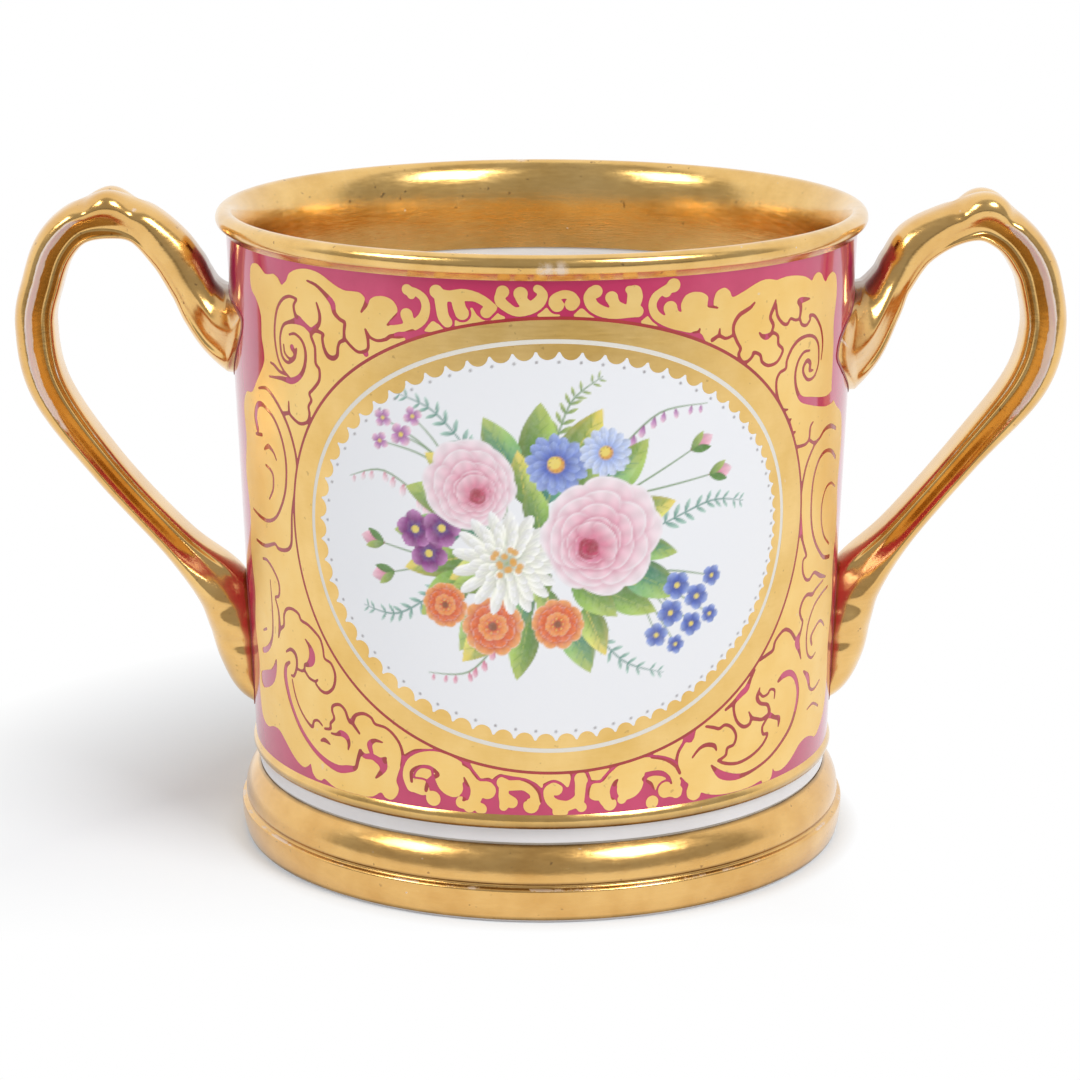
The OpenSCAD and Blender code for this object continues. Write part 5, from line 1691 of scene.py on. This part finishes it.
# Stage sizes in metres. Between two distances the floor goes over to plain white: away from the middle,
# to the right and to the front. Close to the foot most of its shade stays.
FLOOR_HALF = 3
WHITE_AWAY = (0.075, 0.145)
WHITE_RIGHT = (-0.02, 0.06)
WHITE_FRONT = (0.015, -0.065)
FOOT_SHADE = (0.0600, 0.0650)
# Between these distances in front of the cup gloss starts to show the dark of the room
ROOM_FRONT = (-0.30, -0.48)
FLOOR_TINT = (0.86, 0.895, 0.935)
ROOM_TINT = (0.25, 0.25, 0.25)
PLAIN_WHITE = (1.0, 1.0, 1.0)


def stage_material():
    """White floor that keeps the shadow; it ends in the dark of the room in front, as gloss shows."""
    material, nodes, surface, place = shader("floor_white")
    nodes.feed(surface, {"Base Color": FLOOR_TINT, "Roughness": 0.9, "Specular IOR Level": 0.0})
    ray = nodes.add("LightPath")
    axes = nodes.add("SeparateXYZ", {0: place})
    away = nodes.add("VectorMath", {0: place}, operation="LENGTH")["Value"]
    shown = nodes.largest(ray["Is Camera Ray"], ray["Is Transmission Ray"], ray["Is Glossy Ray"])
    white = nodes.largest(nodes.span(away, *WHITE_AWAY), nodes.span(axes["X"], *WHITE_RIGHT),
                          nodes.span(axes["Y"], *WHITE_FRONT))
    clear = nodes.span(away, *FOOT_SHADE, 0.2, 1.0)
    share = nodes.times(shown, nodes.times(white, clear))
    front = nodes.times(nodes.span(axes["Y"], *ROOM_FRONT), ray["Is Glossy Ray"])
    glow = nodes.add("Emission", {"Color": nodes.mix(front, PLAIN_WHITE, ROOM_TINT), "Strength": 1.0})
    mixed = nodes.add("MixShader", {0: nodes.largest(share, front), 1: surface.outputs[0], 2: glow[0]})
    nodes.feed(material.node_tree.nodes["Material Output"], {"Surface": mixed[0]})
    return material


floor_mesh = bpy.data.meshes.new("floor")
h = FLOOR_HALF
floor_mesh.from_pydata([(-h, -h, 0), (h, -h, 0), (h, h, 0), (-h, h, 0)], [], [(0, 1, 2, 3)])
floor_mesh.materials.append(stage_material())
place_object("floor", floor_mesh)

world = bpy.data.worlds.new("studio")
bpy.context.scene.world = world
world.use_nodes = True
sky = Nodes(world.node_tree)
ray = sky.add("LightPath")
axes = sky.add("SeparateXYZ", {0: sky.add("TexCoord")["Generated"]})
# Gloss shows a white sweep behind the cup and the dim room in front of it
room = sky.largest(sky.span(axes["Y"], -0.10, 0.06, 0.40, 1.0), sky.span(axes["Z"], 0.72, 0.95, 0.0, 0.45))
level = sky.times(room, ray["Is Glossy Ray"])
soft = sky.span(ray["Is Diffuse Ray"], 0.0, 1.0, 0.0, 0.5)
light = sky.largest(level, ray["Is Camera Ray"], ray["Is Transmission Ray"], soft)
sky.feed(world.node_tree.nodes["Background"], {"Color": PLAIN_WHITE, "Strength": light})

# Point that the lamps face
LAMP_AIM = Vector((0, 0, 0.07))


def softbox(name, place, size, power):
    """A soft lamp of a width and a height that faces the cup."""
    data = bpy.data.lights.new(name, "AREA")
    data.shape = "RECTANGLE"
    data.size, data.size_y = size
    data.energy = power
    lamp = place_object(name, data)
    lamp.location = place
    lamp.rotation_euler = (LAMP_AIM - Vector(place)).to_track_quat("-Z", "Y").to_euler()


softbox("key_right", (0.67, -0.74, 1.05), (0.54, 0.50), 9.5)
softbox("fill_left", (-0.91, -0.50, 1.00), (0.50, 0.46), 5.0)

camera_data = bpy.data.cameras.new("camera")
camera = place_object("camera", camera_data)
bpy.context.scene.camera = camera
camera_data.lens = CAMERA_LENS
camera_data.sensor_width = CAMERA_SENSOR
camera_data.shift_x = CAMERA_SHIFT
turn = math.radians(CAMERA_TURN)
away = CAMERA_DISTANCE * MM
camera.location = (-away * math.sin(turn), -away * math.cos(turn), CAMERA_HEIGHT * MM)
camera.rotation_euler = (math.radians(90 - CAMERA_PITCH), 0.0, -turn)

bpy.context.scene.view_settings.view_transform = "Standard"
